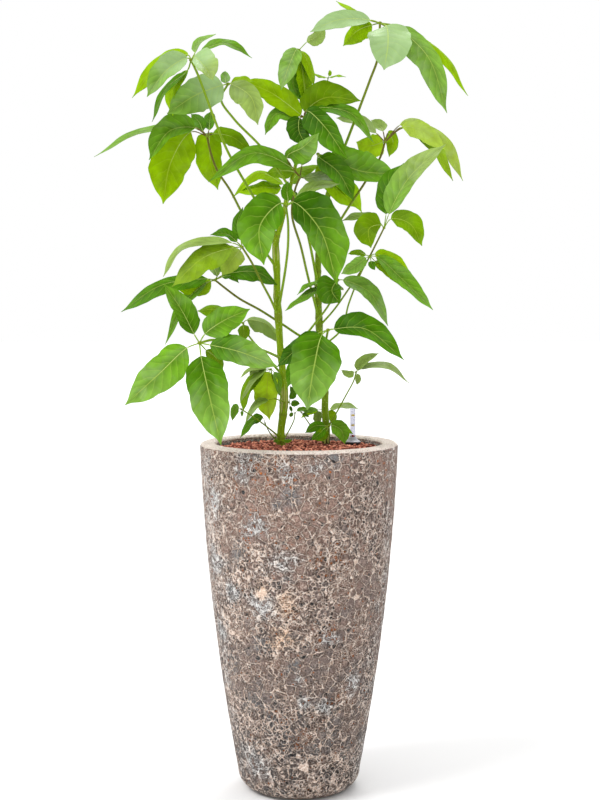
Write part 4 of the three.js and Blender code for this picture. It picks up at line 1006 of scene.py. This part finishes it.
class PLANT_OT_planter(bpy.types.Operator):
    """Turn the planter, raise its crater glaze and colour it"""

    bl_idname = "plant.planter"
    bl_label = "Glazed planter"

    def execute(self, context):
        look = context.scene.planter_look
        foot_centre = FOOT_CURVE_TOP_RADIUS - FOOT_CURVE
        sides = [(outer_radius(z), z) for z in np.linspace(FOOT_CURVE, SIDE_TOP, look.upward + 1)[1:]]
        inner_side_top = PLANTER_HEIGHT - INNER_ROUNDING
        inner_radius = outer_radius(inner_side_top) - WALL
        rim = np.linspace(RIM_RADIUS - RIM_ROUNDING, inner_radius + INNER_ROUNDING, 6)[1:-1]
        slope = [*np.linspace(inner_side_top - 4 * MM, SEEN_DOWN_TO, 5),
                 *np.linspace(SEEN_DOWN_TO, FLOOR + WALL, 9)[1:]]
        profile = [
            (0, 0), *arc(foot_centre, FOOT_CURVE, FOOT_CURVE, -90, 0, 14), *sides,
            *arc(RIM_RADIUS - RIM_ROUNDING, SIDE_TOP, RIM_ROUNDING, 12, 90, 7),
            *[(radius, PLANTER_HEIGHT) for radius in rim],
            *arc(inner_radius + INNER_ROUNDING, inner_side_top, INNER_ROUNDING, 90, 180, 4),
            *[(outer_radius(z) - WALL, z) for z in slope],
            (outer_radius(FLOOR + WALL) - WALL - FLOOR_SLOPE, FLOOR), (0, FLOOR),
        ]
        planter = turned(profile, look.around)
        self.raise_glaze(planter, look)
        planter.data.materials.append(glaze_material(look))
        handed_over(smoothed(planter), "glazed_planter", "lava_glaze", "planter")
        return {"FINISHED"}

    def raise_glaze(self, planter, look):
        points = points_of(planter)
        normals = np.empty(len(points) * 3, np.float32)
        planter.data.vertices.foreach_get("normal", normals)
        normals = normals.reshape(-1, 3)
        radius = np.hypot(points[:, 0], points[:, 1])
        height = points[:, 2]
        outside = (radius > outer_radius(height) - WALL / 2) | (height > SIDE_TOP) | (height < FOOT_CURVE)
        outside &= radius > 20 * MM
        low, coarse, pit, swell = np.zeros((4, len(points)))
        for i in np.flatnonzero(outside):
            place = Vector(points[i])
            low[i] = noise.noise(place / (38 * MM))
            coarse[i] = noise.noise(place / (95 * MM)) + 0.25 * place.x / RIM_RADIUS + 0.3 * (place.z - 0.4)
            warped = place + noise.noise_vector(place / (11 * MM)) * (4 * MM)
            pit[i] = noise.voronoi(warped / look.large_pit)[0][0]
            swell[i] = noise.fractal(place / (26 * MM), 0.8, 2.0, 3)
        coarse = smooth_step(-0.12, 0.2, coarse) * outside
        on_rim = smooth_step(SIDE_TOP + 1.5 * MM, SIDE_TOP + 6 * MM, height)
        bare = on_rim * (radius > RIM_RADIUS - WALL)
        stands = (smooth_step(0.1, 0.5, pit) - 0.6) * look.relief * (0.35 + 0.65 * coarse) * (1 - bare)
        stands = (stands + swell * look.swell * 0.5) * outside * smooth_step(0, 8 * MM, height)
        place_points(planter, points + normals * stands[:, None])
        marks = {kind: np.zeros(len(points)) for kind in PATCH_KINDS}
        for across, down, size, kind in GLAZE_PATCHES:
            middle = on_planter(across, down)
            for turn in (1, -1):
                away = np.linalg.norm(points - middle * (turn, turn, 1), axis=1) / (size * MM)
                marks[kind] = np.maximum(marks[kind], 1 - smooth_step(0, 1.8, away + 0.8 * low))
        # Painted highlight: the glaze is marked whiter on the left and right sides, where the wall is seen
        # edge on from the front and its ridges catch the light
        edge_on_highlight = smooth_step(0.72, 0.97, np.abs(points[:, 0]) / np.maximum(radius, MM))
        marks["white"] = np.maximum(marks["white"], (0.42 + 0.5 * low) * edge_on_highlight)
        for kind, values in marks.items():
            mark(planter, kind, values * outside)
        in_hollow = ~outside & (radius < RIM_RADIUS - WALL / 2) & (height > FOOT_CURVE)
        mark(planter, "dark_wall_band", smooth_step(*DARK_WALL_BAND, BED_TOP - height) * in_hollow)
        mark(planter, "coarse", coarse)
        mark(planter, "bare", bare)


class PLANT_OT_granules(bpy.types.Operator):
    """Strew the clay granules over the bed"""

    bl_idname = "plant.granules"
    bl_label = "Clay granules"

    def execute(self, context):
        look = context.scene.granule_look
        draw = random.Random(3)
        lumps = [self.lump(draw) for _ in range(6)]
        points, faces, tints = [], [], []
        shades = [np.array(shade) for shade in (look.light, look.middle, look.dark)]
        standing = [((GAUGE_X, GAUGE_Y), FLANGE_RADIUS)]
        standing += [(seen(*stem[0][:3])[:2], STEM_CLEARANCE) for stem in STEMS.values()]
        rows = int(BED_RADIUS / (look.spacing * ROW_HEIGHT)) + 1
        for row in range(-rows, rows + 1):
            for step in range(-rows, rows + 1):
                x = (step + 0.5 * (row % 2) + draw.uniform(-0.35, 0.35)) * look.spacing
                y = (row * ROW_HEIGHT + draw.uniform(-0.3, 0.3)) * look.spacing
                size = draw.uniform(look.smallest, look.largest) / 2
                turn = draw.uniform(0, 2 * math.pi)
                tip = draw.uniform(0, 2 * math.pi)
                shape, faces_of = lumps[draw.randrange(6)]
                shade = draw.random()
                if math.hypot(x, y) > BED_RADIUS - size * SUNK:
                    continue
                if any(math.dist((x, y), centre) < reach for centre, reach in standing):
                    continue
                cos, sin = math.cos(turn), math.sin(turn)
                flat = np.array(((cos, -sin, 0), (sin, cos, 0), (0, 0, 1)))
                cos, sin = math.cos(tip), math.sin(tip)
                roll = np.array(((1, 0, 0), (0, cos, -sin), (0, sin, cos)))
                middle = np.array((x, y, BED_TOP - size * SUNK + draw.uniform(-2.2, 1.4) * MM))
                faces.append(faces_of + len(points) * len(shape))
                points.append(shape @ roll @ flat * size + middle)
                first, second = (shades[0], shades[1]) if shade < 0.5 else (shades[1], shades[2])
                weight = draw.random()
                # Painted shade: each lump's tint darkens towards its underside, where little light reaches
                # down between the lumps
                lit = smooth_step(-0.45, 0.65, (shape @ roll)[:, 2:])
                tints.append((first * weight + second * (1 - weight)) * (0.18 + lit))
        strewn = bpy.data.meshes.new("strewn_granules")
        strewn.from_pydata(np.vstack(points).tolist(), [], np.vstack(faces).tolist())
        layer = bpy.data.objects.new("strewn_granules", strewn)
        context.scene.collection.objects.link(layer)
        paint(layer, "tint", np.vstack(tints))
        top = BED_TOP - CRUST
        bed = turned([
            (0, bed_low.z), (BED_RADIUS, bed_low.z), (BED_RADIUS, top), (BED_RADIUS * 0.5, top), (0, top),
        ], 64)
        # Painted shade: the bed beneath the loose granules is far darker than any lump, so the gaps between
        # them read dark
        paint(bed, "tint", np.array(look.dark) * 0.3)
        clay = clay_material()
        for part in (layer, bed):
            part.data.materials.append(clay)
        handed_over(smoothed(joined([layer, bed]), 60), "clay_granules", "clay_granules", "top_granules")
        return {"FINISHED"}

    def lump(self, draw):
        """A broken, rounded lump of radius 1: its points and its four-sided faces."""
        obj = started(bpy.ops.mesh.primitive_cube_add, size=1.5)
        bpy.ops.object.mode_set(mode="EDIT")
        bpy.ops.mesh.select_all(action="SELECT")
        bpy.ops.mesh.subdivide(number_cuts=1, smoothness=1)
        bpy.ops.object.mode_set(mode="OBJECT")
        shape = points_of(obj)
        shape = unit(shape) * np.array([draw.uniform(0.76, 1.12) for _ in shape])[:, None]
        shape = shape * np.array((1, draw.uniform(0.75, 1), draw.uniform(0.65, 0.95)))
        faces = np.array([tuple(face.vertices) for face in obj.data.polygons])
        bpy.data.objects.remove(obj)
        return shape, faces


def stem_line(side):
    return [seen(across, down, depth) for across, down, depth, _ in STEMS[side]]


def stem_share(side, down):
    """How far along a stem's line the height in the picture lies."""
    rows = [place[1] for place in STEMS[side]]
    shares = np.linspace(0, 1, len(rows))
    return float(np.interp(-down, [-row for row in rows], shares))


class PLANT_OT_stems(bpy.types.Operator):
    """Grow the two stems with their leaf scars and sheaths"""

    bl_idname = "plant.stems"
    bl_label = "Stems"

    def execute(self, context):
        look = context.scene.foliage_look
        bark = stem_material()
        for side, skin, dark_foot_share in (("left", look.stem_left, 0.1), ("right", look.stem_right, 0.85)):
            line = stem_line(side)
            shares = np.linspace(0, 1, len(line))
            radii = [place[3] / 2 * MM for place in STEMS[side]]
            joining = [leaf.joins[1] for leaf in LEAVES.values() if leaf.joins[0] == side]
            joints = [stem_share(side, down) for down in (*joining, *STEM_SCARS[side])]

            def near_joint(share, reach):
                return np.exp(-((np.abs(share[:, None] - np.array(joints)[None]).min(axis=1) / reach) ** 2))

            def radius_at(share):
                ridge = 0.9 * MM * near_joint(share, RING_REACH * 1.6)
                return np.interp(share, shares, radii) + ridge

            def tint_at(share):
                ringed = between(skin, look.scar, near_joint(share, RING_REACH * 0.8) * 0.55)
                at_foot = 1 - smooth_step(0.04, 0.1, share)[:, None]
                return ringed + (np.array(look.dark_foot) - ringed) * dark_foot_share * at_foot

            stem = bent_rod(line, radius_at, tint_at, sides=20, steps=240)
            top = bed_low.z - 2 * MM
            cone = [(radius * MM, top + height * MM) for radius, height in ROOT]
            root = turned([*cone, (0, BED_TOP - 4 * MM)], 24, *line[0][:2])
            root.data.uv_layers.new(name="blade")
            for layer in TINTS:
                paint(root, layer, look.stalk_brown)
            strips = [self.strip(side, line, shares, radii, *place, look) for place in SHEATHS[side]]
            parts = [stem, root, *strips]
            for part in parts:
                part.data.materials.append(bark)
            name = f"stem_{side}"
            handed_over(smoothed(joined(parts)), f"green_{name}", "green_stem", name)
        return {"FINISHED"}

    def strip(self, side, line, shares, radii, low, high, turn, width, look):
        """A pale strip of an old leaf's sheath that lies on the stem between two heights in the picture."""
        start, end = stem_share(side, low), stem_share(side, high)
        steps = np.linspace(start, end, 6)
        middle, _ = along(line, steps)
        reach = np.interp(steps, shares, radii)[:, None]
        angle = math.radians(turn)
        towards = np.array((math.sin(angle), -math.cos(angle), 0))
        places = middle + towards * (reach - 0.6 * MM)
        return bent_rod(places, lambda share: width * MM * np.sqrt(np.maximum(np.sin(math.pi * share), 0.02)),
                        lambda share: between(look.sheath, look.scar, share * 0.4), sides=8, steps=12)


class PLANT_OT_leaves(bpy.types.Operator):
    """Grow every leaf: its stalk, the knuckle where its leaflets meet, and the leaflets"""

    bl_idname = "plant.leaves"
    bl_label = "Leaves"

    def execute(self, context):
        look = context.scene.foliage_look
        upper = blade_material("leaf_upper_side", "tint", "#b2ca58", 0.34, 0.32, 0.9, 0.12)
        lower = blade_material("leaf_underside", "far_tint", "#b4cc3c", 0.55, 0.3, 0.3, 0.2)
        stalk = stalk_material()
        for name, leaf in LEAVES.items():
            draw = random.Random(name)
            hub = seen(*leaf.hub)
            foot = along(stem_line(leaf.joins[0]), np.array([stem_share(*leaf.joins)]))[0][0]
            blades, rods = [], []
            brown, rib_brown = BROWN_STALKS.get(name, GREEN_STALK)
            for leaflet, tones in zip(leaf.leaflets, leaf.tones.split(), strict=True):
                line, right, left = self.leaflet_lines(hub, leaf.hub[2], leaflet)
                blades.append(self.blade(line, right, left, tones, draw, look))
                rods.append(self.rib(line, leaf.thickness, rib_brown, look))
            rods.append(self.main_stalk(foot, leaf, hub, brown, look))
            rods.append(self.knuckle(hub, leaf.thickness, look))
            grown = joined(blades)
            grown.data.materials.append(upper)
            grown.data.materials.append(lower)
            activate(grown)
            bpy.ops.object.modifier_add(type="SOLIDIFY")
            solid = grown.modifiers[-1]
            solid.thickness = look.thickness
            solid.offset = 0
            solid.material_offset = 1
            bpy.ops.object.modifier_apply(modifier=solid.name)
            for rod in rods:
                rod.data.materials.append(stalk)
            slot = "leaf_young" if name in YOUNG else "leaf"
            handed_over(smoothed(joined([grown, *rods]), 50), f"grown_{name}", slot, name)
        put_blanks_away()
        return {"FINISHED"}

    def leaflet_lines(self, hub, hub_depth, leaflet):
        """The midrib's points, and how far its right and left edge reach from it: sideways and in depth."""
        *spots, deeper, right, left = leaflet
        depths = [hub_depth + share * deeper for share in BEND_SHARE]
        places = [seen(*place) for place in zip(spots[::2], spots[1::2], depths)]
        size = np.linalg.norm(places[2] - places[0])
        scale = (depths[1] * MM - EYE[1]) / FOCAL_LENGTH
        leftward = spots[4] < spots[0]
        edges = []
        for half_width, goes_up in ((right, leftward), (left, not leftward)):
            sideways = half_width * scale
            hidden = math.sqrt(max(0, (HALF_WIDTH_SHARE * size) ** 2 - sideways**2))
            edges.append((sideways, min(hidden, DEEPEST_TURN) * (1 if goes_up else -1)))
        return [hub, *places], *edges

    def blade(self, line, right, left, tones, draw, look):
        """A blade bent from the flat blank: x of the blank is across the midrib, y is from base to tip."""
        blade = copy_of(blade_blank())
        flat = points_of(blade)
        off, share = flat[:, 0], (flat[:, 1] + 1) / 2
        away = np.abs(off)
        middle, direction = along(line, BLADE_STARTS + share * (1 - BLADE_STARTS))
        to_right = unit(np.stack((direction[:, 2], np.zeros(len(off)), -direction[:, 0]), axis=1))
        wide = np.interp(share, *zip(*OUTLINE))
        # The margin is never quite smooth: each half has shallow lobes of its own
        ragged = 0
        for lobes, reach in MARGIN_LOBES:
            turns = 2 * math.pi * (lobes + draw.uniform(-0.8, 0.8)) * share
            ragged = ragged + reach * np.sin(turns + draw.uniform(0, 6.28) + 2.4 * (off > 0))
        wide = wide * (1 + ragged * away**3)
        sideways = np.where(off > 0, right[0], left[0]) * wide
        backwards = np.where(off > 0, right[1], left[1]) * wide
        turn = math.atan2(right[1] - left[1], right[0] + left[0])
        above = unit(np.cross(to_right * math.cos(turn) + AHEAD * math.sin(turn), direction))
        shows_under = tones in UNDERSIDE_TONES
        half = (math.hypot(*right) + math.hypot(*left)) / 2
        fold = look.fold * draw.uniform(0.4, 1.5)
        waves = draw.uniform(1.4, 2.6)
        phase = np.where(off > 0, draw.uniform(0, 6.28), draw.uniform(0, 6.28))
        wave = look.wave * draw.uniform(0.5, 1.4) * np.sin(2 * math.pi * waves * share + phase) * away**2
        cup = fold * away**1.4 * wide
        quilt = np.sin(2 * math.pi * SIDE_VEINS * (share - VEIN_SLANT * away)) * 4 * away * (1 - away)
        lift = (cup + wave * np.sqrt(wide)) * half + quilt * look.quilting * wide
        lift = lift * (-1 if shows_under else 1)
        points = middle + to_right * (off * sideways)[:, None] + above * lift[:, None]
        points[:, 1] += away * backwards
        place_points(blade, points)
        base_tone, _, tip_tone = tones.partition(">")
        colours = between(getattr(look, base_tone), getattr(look, tip_tone or base_tone),
                          smooth_step(0.25, 0.75, share))
        shift = draw.uniform(0.9, 1.1)
        near, far = TINTS[::-1] if shows_under else TINTS
        paint(blade, near, colours * shift)
        paint(blade, far, np.array(look.mid if shows_under else look.under) * shift)
        if shows_under:
            blade.data.flip_normals()
        return blade

    def rib(self, line, thickness, brown, look):
        """A leaflet's own stalk, by the share brown, which runs on as its midrib."""
        stalk_tone = between(look.stalk_green, look.stalk_brown, np.array([brown]))[0]

        def radius_at(share):
            stalk = look.rib * (0.9 + 0.35 * np.exp(-share / 0.04))
            rib = look.rib * 0.62 * (1 - 0.75 * smooth_step(0.3, 1, share))
            return np.where(share < BLADE_STARTS, stalk * 1.15, rib) * thickness / GROWN_STALK

        def tint_at(share):
            return between(stalk_tone, look.rib_tone, smooth_step(0.27, 0.36, share))

        return bent_rod(line, radius_at, tint_at, sides=6, steps=24, shares=(0, 0.985))

    def main_stalk(self, foot, leaf, hub, brown, look):
        """A leaf's long stalk, which turns browner towards the knuckle, by the share brown there."""
        line = [foot, *[seen(*place) for place in reversed(leaf.stalk)], hub]
        size = sum(np.linalg.norm(b - a) for a, b in zip(line, line[1:]))
        thick = leaf.thickness / 2 * MM

        def radius_at(share):
            sheath = 0.8 * np.exp(-share * size / (9 * MM))
            return thick * (1.2 - 0.28 * share + sheath)

        def tint_at(share):
            return between(look.stalk_green, look.stalk_brown, brown * smooth_step(0, 0.8, share))

        return bent_rod(line, radius_at, tint_at, sides=8, steps=max(6, int(size / (7 * MM))))

    def knuckle(self, hub, thickness, look):
        radius = thickness * KNUCKLE_SIZE * MM
        knob = started(bpy.ops.mesh.primitive_ico_sphere_add, subdivisions=2, radius=radius)
        knob.data.uv_layers[0].name = "blade"
        place_points(knob, points_of(knob) * (1, 1, 0.85) + hub)
        for layer in TINTS:
            paint(knob, layer, between(look.stalk_green, look.stalk_brown, np.array([KNUCKLE_BROWN])))
        return knob


class PLANT_OT_gauge(bpy.types.Operator):
    """Turn the water level gauge and finish its marks"""

    bl_idname = "plant.gauge"
    bl_label = "Water level gauge"

    def execute(self, context):
        black = plastic_material("black_polypropylene", "#1d1c1f", "#29282c", 0.45)
        grey = plastic_material("grey_polystyrene", "#b4b3bd", "#c6c5ce", 0.32)
        red = plastic_material("red_polystyrene", "#a01408", "#b81f10", 0.3)
        yellow = plastic_material("yellow_print", "#c9aa3c", "#d8bd55", 0.45)
        white = filling_material("polystyrene_foam", 3 * MM, "#f0eee8", "#d6d3ca", 0.85)
        lip = 0.6 * MM
        bore = TUBE_RADIUS + 0.3 * MM
        neck = 6.9 * MM
        base, top = collar_low.z, collar_high.z
        self.part("flared_gauge_collar", "grey_plastic", "gauge_collar", grey, 64, [
            (bore, base), (COLLAR_RADIUS - lip, base), (COLLAR_RADIUS, base + lip),
            (COLLAR_RADIUS, base + 1.1 * MM), (COLLAR_RADIUS - lip, base + 1.7 * MM),
            (13.4 * MM, base + 2.4 * MM), (11 * MM, base + 3.9 * MM), (9.2 * MM, base + 6 * MM),
            (8.1 * MM, top - 2.2 * MM), (neck + lip, top - 1.2 * MM), (neck, top - lip),
            (neck - 0.5 * MM, top), (bore, top),
        ])
        inner = TUBE_RADIUS - 1 * MM
        step = TUBE_RADIUS - 0.4 * MM
        cap = tube_high.z
        self.part("clear_gauge_tube", "clear_tube", "gauge_tube", tube_material(), 48, [
            (inner, tube_low.z), (TUBE_RADIUS, tube_low.z), (TUBE_RADIUS, cap - 2.4 * MM),
            (step, cap - 2 * MM), (step, cap - 0.5 * MM), (TUBE_RADIUS - 0.9 * MM, cap), (0, cap),
            (0, cap - 1 * MM), (inner - 0.5 * MM, cap - 1 * MM), (inner, cap - 1.6 * MM),
        ])
        hole = 2.5 * MM
        shaft = 9 * MM
        shaft_inside = shaft - 1.4 * MM
        flange = casing_high.z - 2.6 * MM
        bottom, top = casing_low.z, casing_high.z
        self.part("black_gauge_casing", "gauge_black", "gauge_casing", black, 48, [
            (hole, bottom), (shaft - lip, bottom), (shaft, bottom + lip), (shaft, flange),
            (FLANGE_RADIUS - lip, flange), (FLANGE_RADIUS, flange + lip), (FLANGE_RADIUS, top - lip),
            (FLANGE_RADIUS - lip, top), (shaft_inside, top), (shaft_inside, bottom + 2 * MM),
            (hole, bottom + 2 * MM),
        ])
        tip = rod_high.z
        self.part("red_gauge_rod", "red_plastic", "gauge_rod", red, 24, [
            (0, rod_low.z), (1.3 * MM, rod_low.z), (1.3 * MM, tip - 5 * MM), (2.2 * MM, tip - 4.2 * MM),
            (2.3 * MM, tip - 1.2 * MM), (1.7 * MM, tip - 0.3 * MM), (0, tip),
        ])
        for name in ("gauge_mark_low", "gauge_mark_high"):
            finish_node(name, yellow)
        finish_node("gauge_float", white)
        return {"FINISHED"}

    def part(self, name, slot, replaced, material, steps, profile):
        turning = turned(profile, steps, GAUGE_X, GAUGE_Y)
        turning.data.materials.append(material)
        handed_over(smoothed(turning), name, slot, replaced)


def finish_node(name, material):
    """Gives a construction node that stays its material."""
    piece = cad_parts[name]
    piece.data.materials.clear()
    piece.data.materials.append(material)


class PLANT_OT_inside(bpy.types.Operator):
    """Finish what the planter holds out of sight: liner, culture pot and fillings"""

    bl_idname = "plant.inside"
    bl_label = "Inside the planter"

    def execute(self, context):
        clay = filling_material("packed_clay_granules", 7 * MM, "#a65d49", "#4a241c", 0.92)
        foam = filling_material("filler_foam", 12 * MM, "#c9b79c", "#8a7458", 0.9)
        black = plastic_material("black_polyethylene", "#22242a", "#2d3036", 0.5)
        brown = plastic_material("recycled_polypropylene", "#2b2a28", "#383632", 0.55)
        finish_node("fill_granules", clay)
        finish_node("root_granules", clay)
        finish_node("base_filler", foam)
        finish_node("liner", black)
        finish_node("culture_pot", brown)
        return {"FINISHED"}


class PLANT_OT_stage(bpy.types.Operator):
    """Lay the pale floor and set up the soft studio light and the camera"""

    bl_idname = "plant.stage"
    bl_label = "Stage"

    def execute(self, context):
        look = context.scene.stage_look
        floor = started(bpy.ops.mesh.primitive_plane_add, size=60, location=(0, 0, -0.3 * MM))
        floor.name = "floor"
        material, add, place = new_material("painted_studio_floor")
        cloud = add("TexNoise", place, 1.5, 2)
        tone = add("Mix", cloud, (*look.floor_dark, 1), (*look.floor_light, 1), data_type="RGBA")
        skin = add("BsdfPrincipled", {"Base Color": tone, "Roughness": 0.9, "Specular IOR Level": 0.1})
        add("OutputMaterial", skin)
        floor.data.materials.append(material)
        world = bpy.data.worlds.new("studio")
        world.use_nodes = True
        world.node_tree.nodes["Background"].inputs["Color"].default_value = (1, 1, 1, 1)
        world.node_tree.nodes["Background"].inputs["Strength"].default_value = look.surroundings
        context.scene.world = world
        lamps = (("key_light", look.key, (-2.4, -1.3, 3.2)), ("back_light", look.back, (0.5, 1.6, 3)))
        for name, strength, place in lamps:
            aim = (-Vector(place)).to_track_quat("-Z", "Y").to_euler()
            bpy.ops.object.light_add(type="SUN", location=place, rotation=aim)
            lamp = bpy.context.object
            lamp.name = name
            lamp.data.energy = strength
            lamp.data.angle = look.softness
        bpy.ops.object.camera_add(location=EYE, rotation=(math.radians(90) - LOOKS_DOWN, 0, 0))
        camera = bpy.context.object
        camera.data.sensor_fit = "AUTO"
        camera.data.sensor_width = 36
        camera.data.lens = 36 * FOCAL_LENGTH / PICTURE_SIZE[1]
        context.scene.camera = camera
        context.scene.view_settings.view_transform = "Standard"
        return {"FINISHED"}


class PLANT_PT_sidebar(bpy.types.Panel):
    bl_idname = "PLANT_PT_sidebar"
    bl_label = "Umbrella plant"
    bl_space_type = "VIEW_3D"
    bl_region_type = "UI"
    bl_category = "Umbrella plant"

    def draw(self, context):
        for look, operator in PIECES:
            column = self.layout.column(align=True)
            settings = getattr(context.scene, look, None)
            if settings:
                for name in settings.__annotations__:
                    column.prop(settings, name)
            column.operator(operator)


PIECES = (
    ("planter_look", "plant.planter"),
    ("granule_look", "plant.granules"),
    ("foliage_look", "plant.stems"),
    ("foliage_look", "plant.leaves"),
    ("", "plant.gauge"),
    ("", "plant.inside"),
    ("stage_look", "plant.stage"),
)
LOOKS = {
    "planter_look": PlanterLook, "granule_look": GranuleLook, "foliage_look": FoliageLook,
    "stage_look": StageLook,
}
CLASSES = (
    *LOOKS.values(), PLANT_OT_planter, PLANT_OT_granules, PLANT_OT_stems, PLANT_OT_leaves, PLANT_OT_gauge,
    PLANT_OT_inside, PLANT_OT_stage, PLANT_PT_sidebar,
)


def register():
    for each in CLASSES:
        bpy.utils.register_class(each)
    for name, look in LOOKS.items():
        setattr(bpy.types.Scene, name, bpy.props.PointerProperty(type=look))


def unregister():
    for name in LOOKS:
        delattr(bpy.types.Scene, name)
    for each in reversed(CLASSES):
        bpy.utils.unregister_class(each)


def main():
    register()
    bpy.ops.plant.planter()
    bpy.ops.plant.granules()
    bpy.ops.plant.stems()
    bpy.ops.plant.leaves()
    bpy.ops.plant.gauge()
    bpy.ops.plant.inside()
    bpy.ops.plant.stage()
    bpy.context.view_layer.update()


if __name__ == "__main__":
    main()
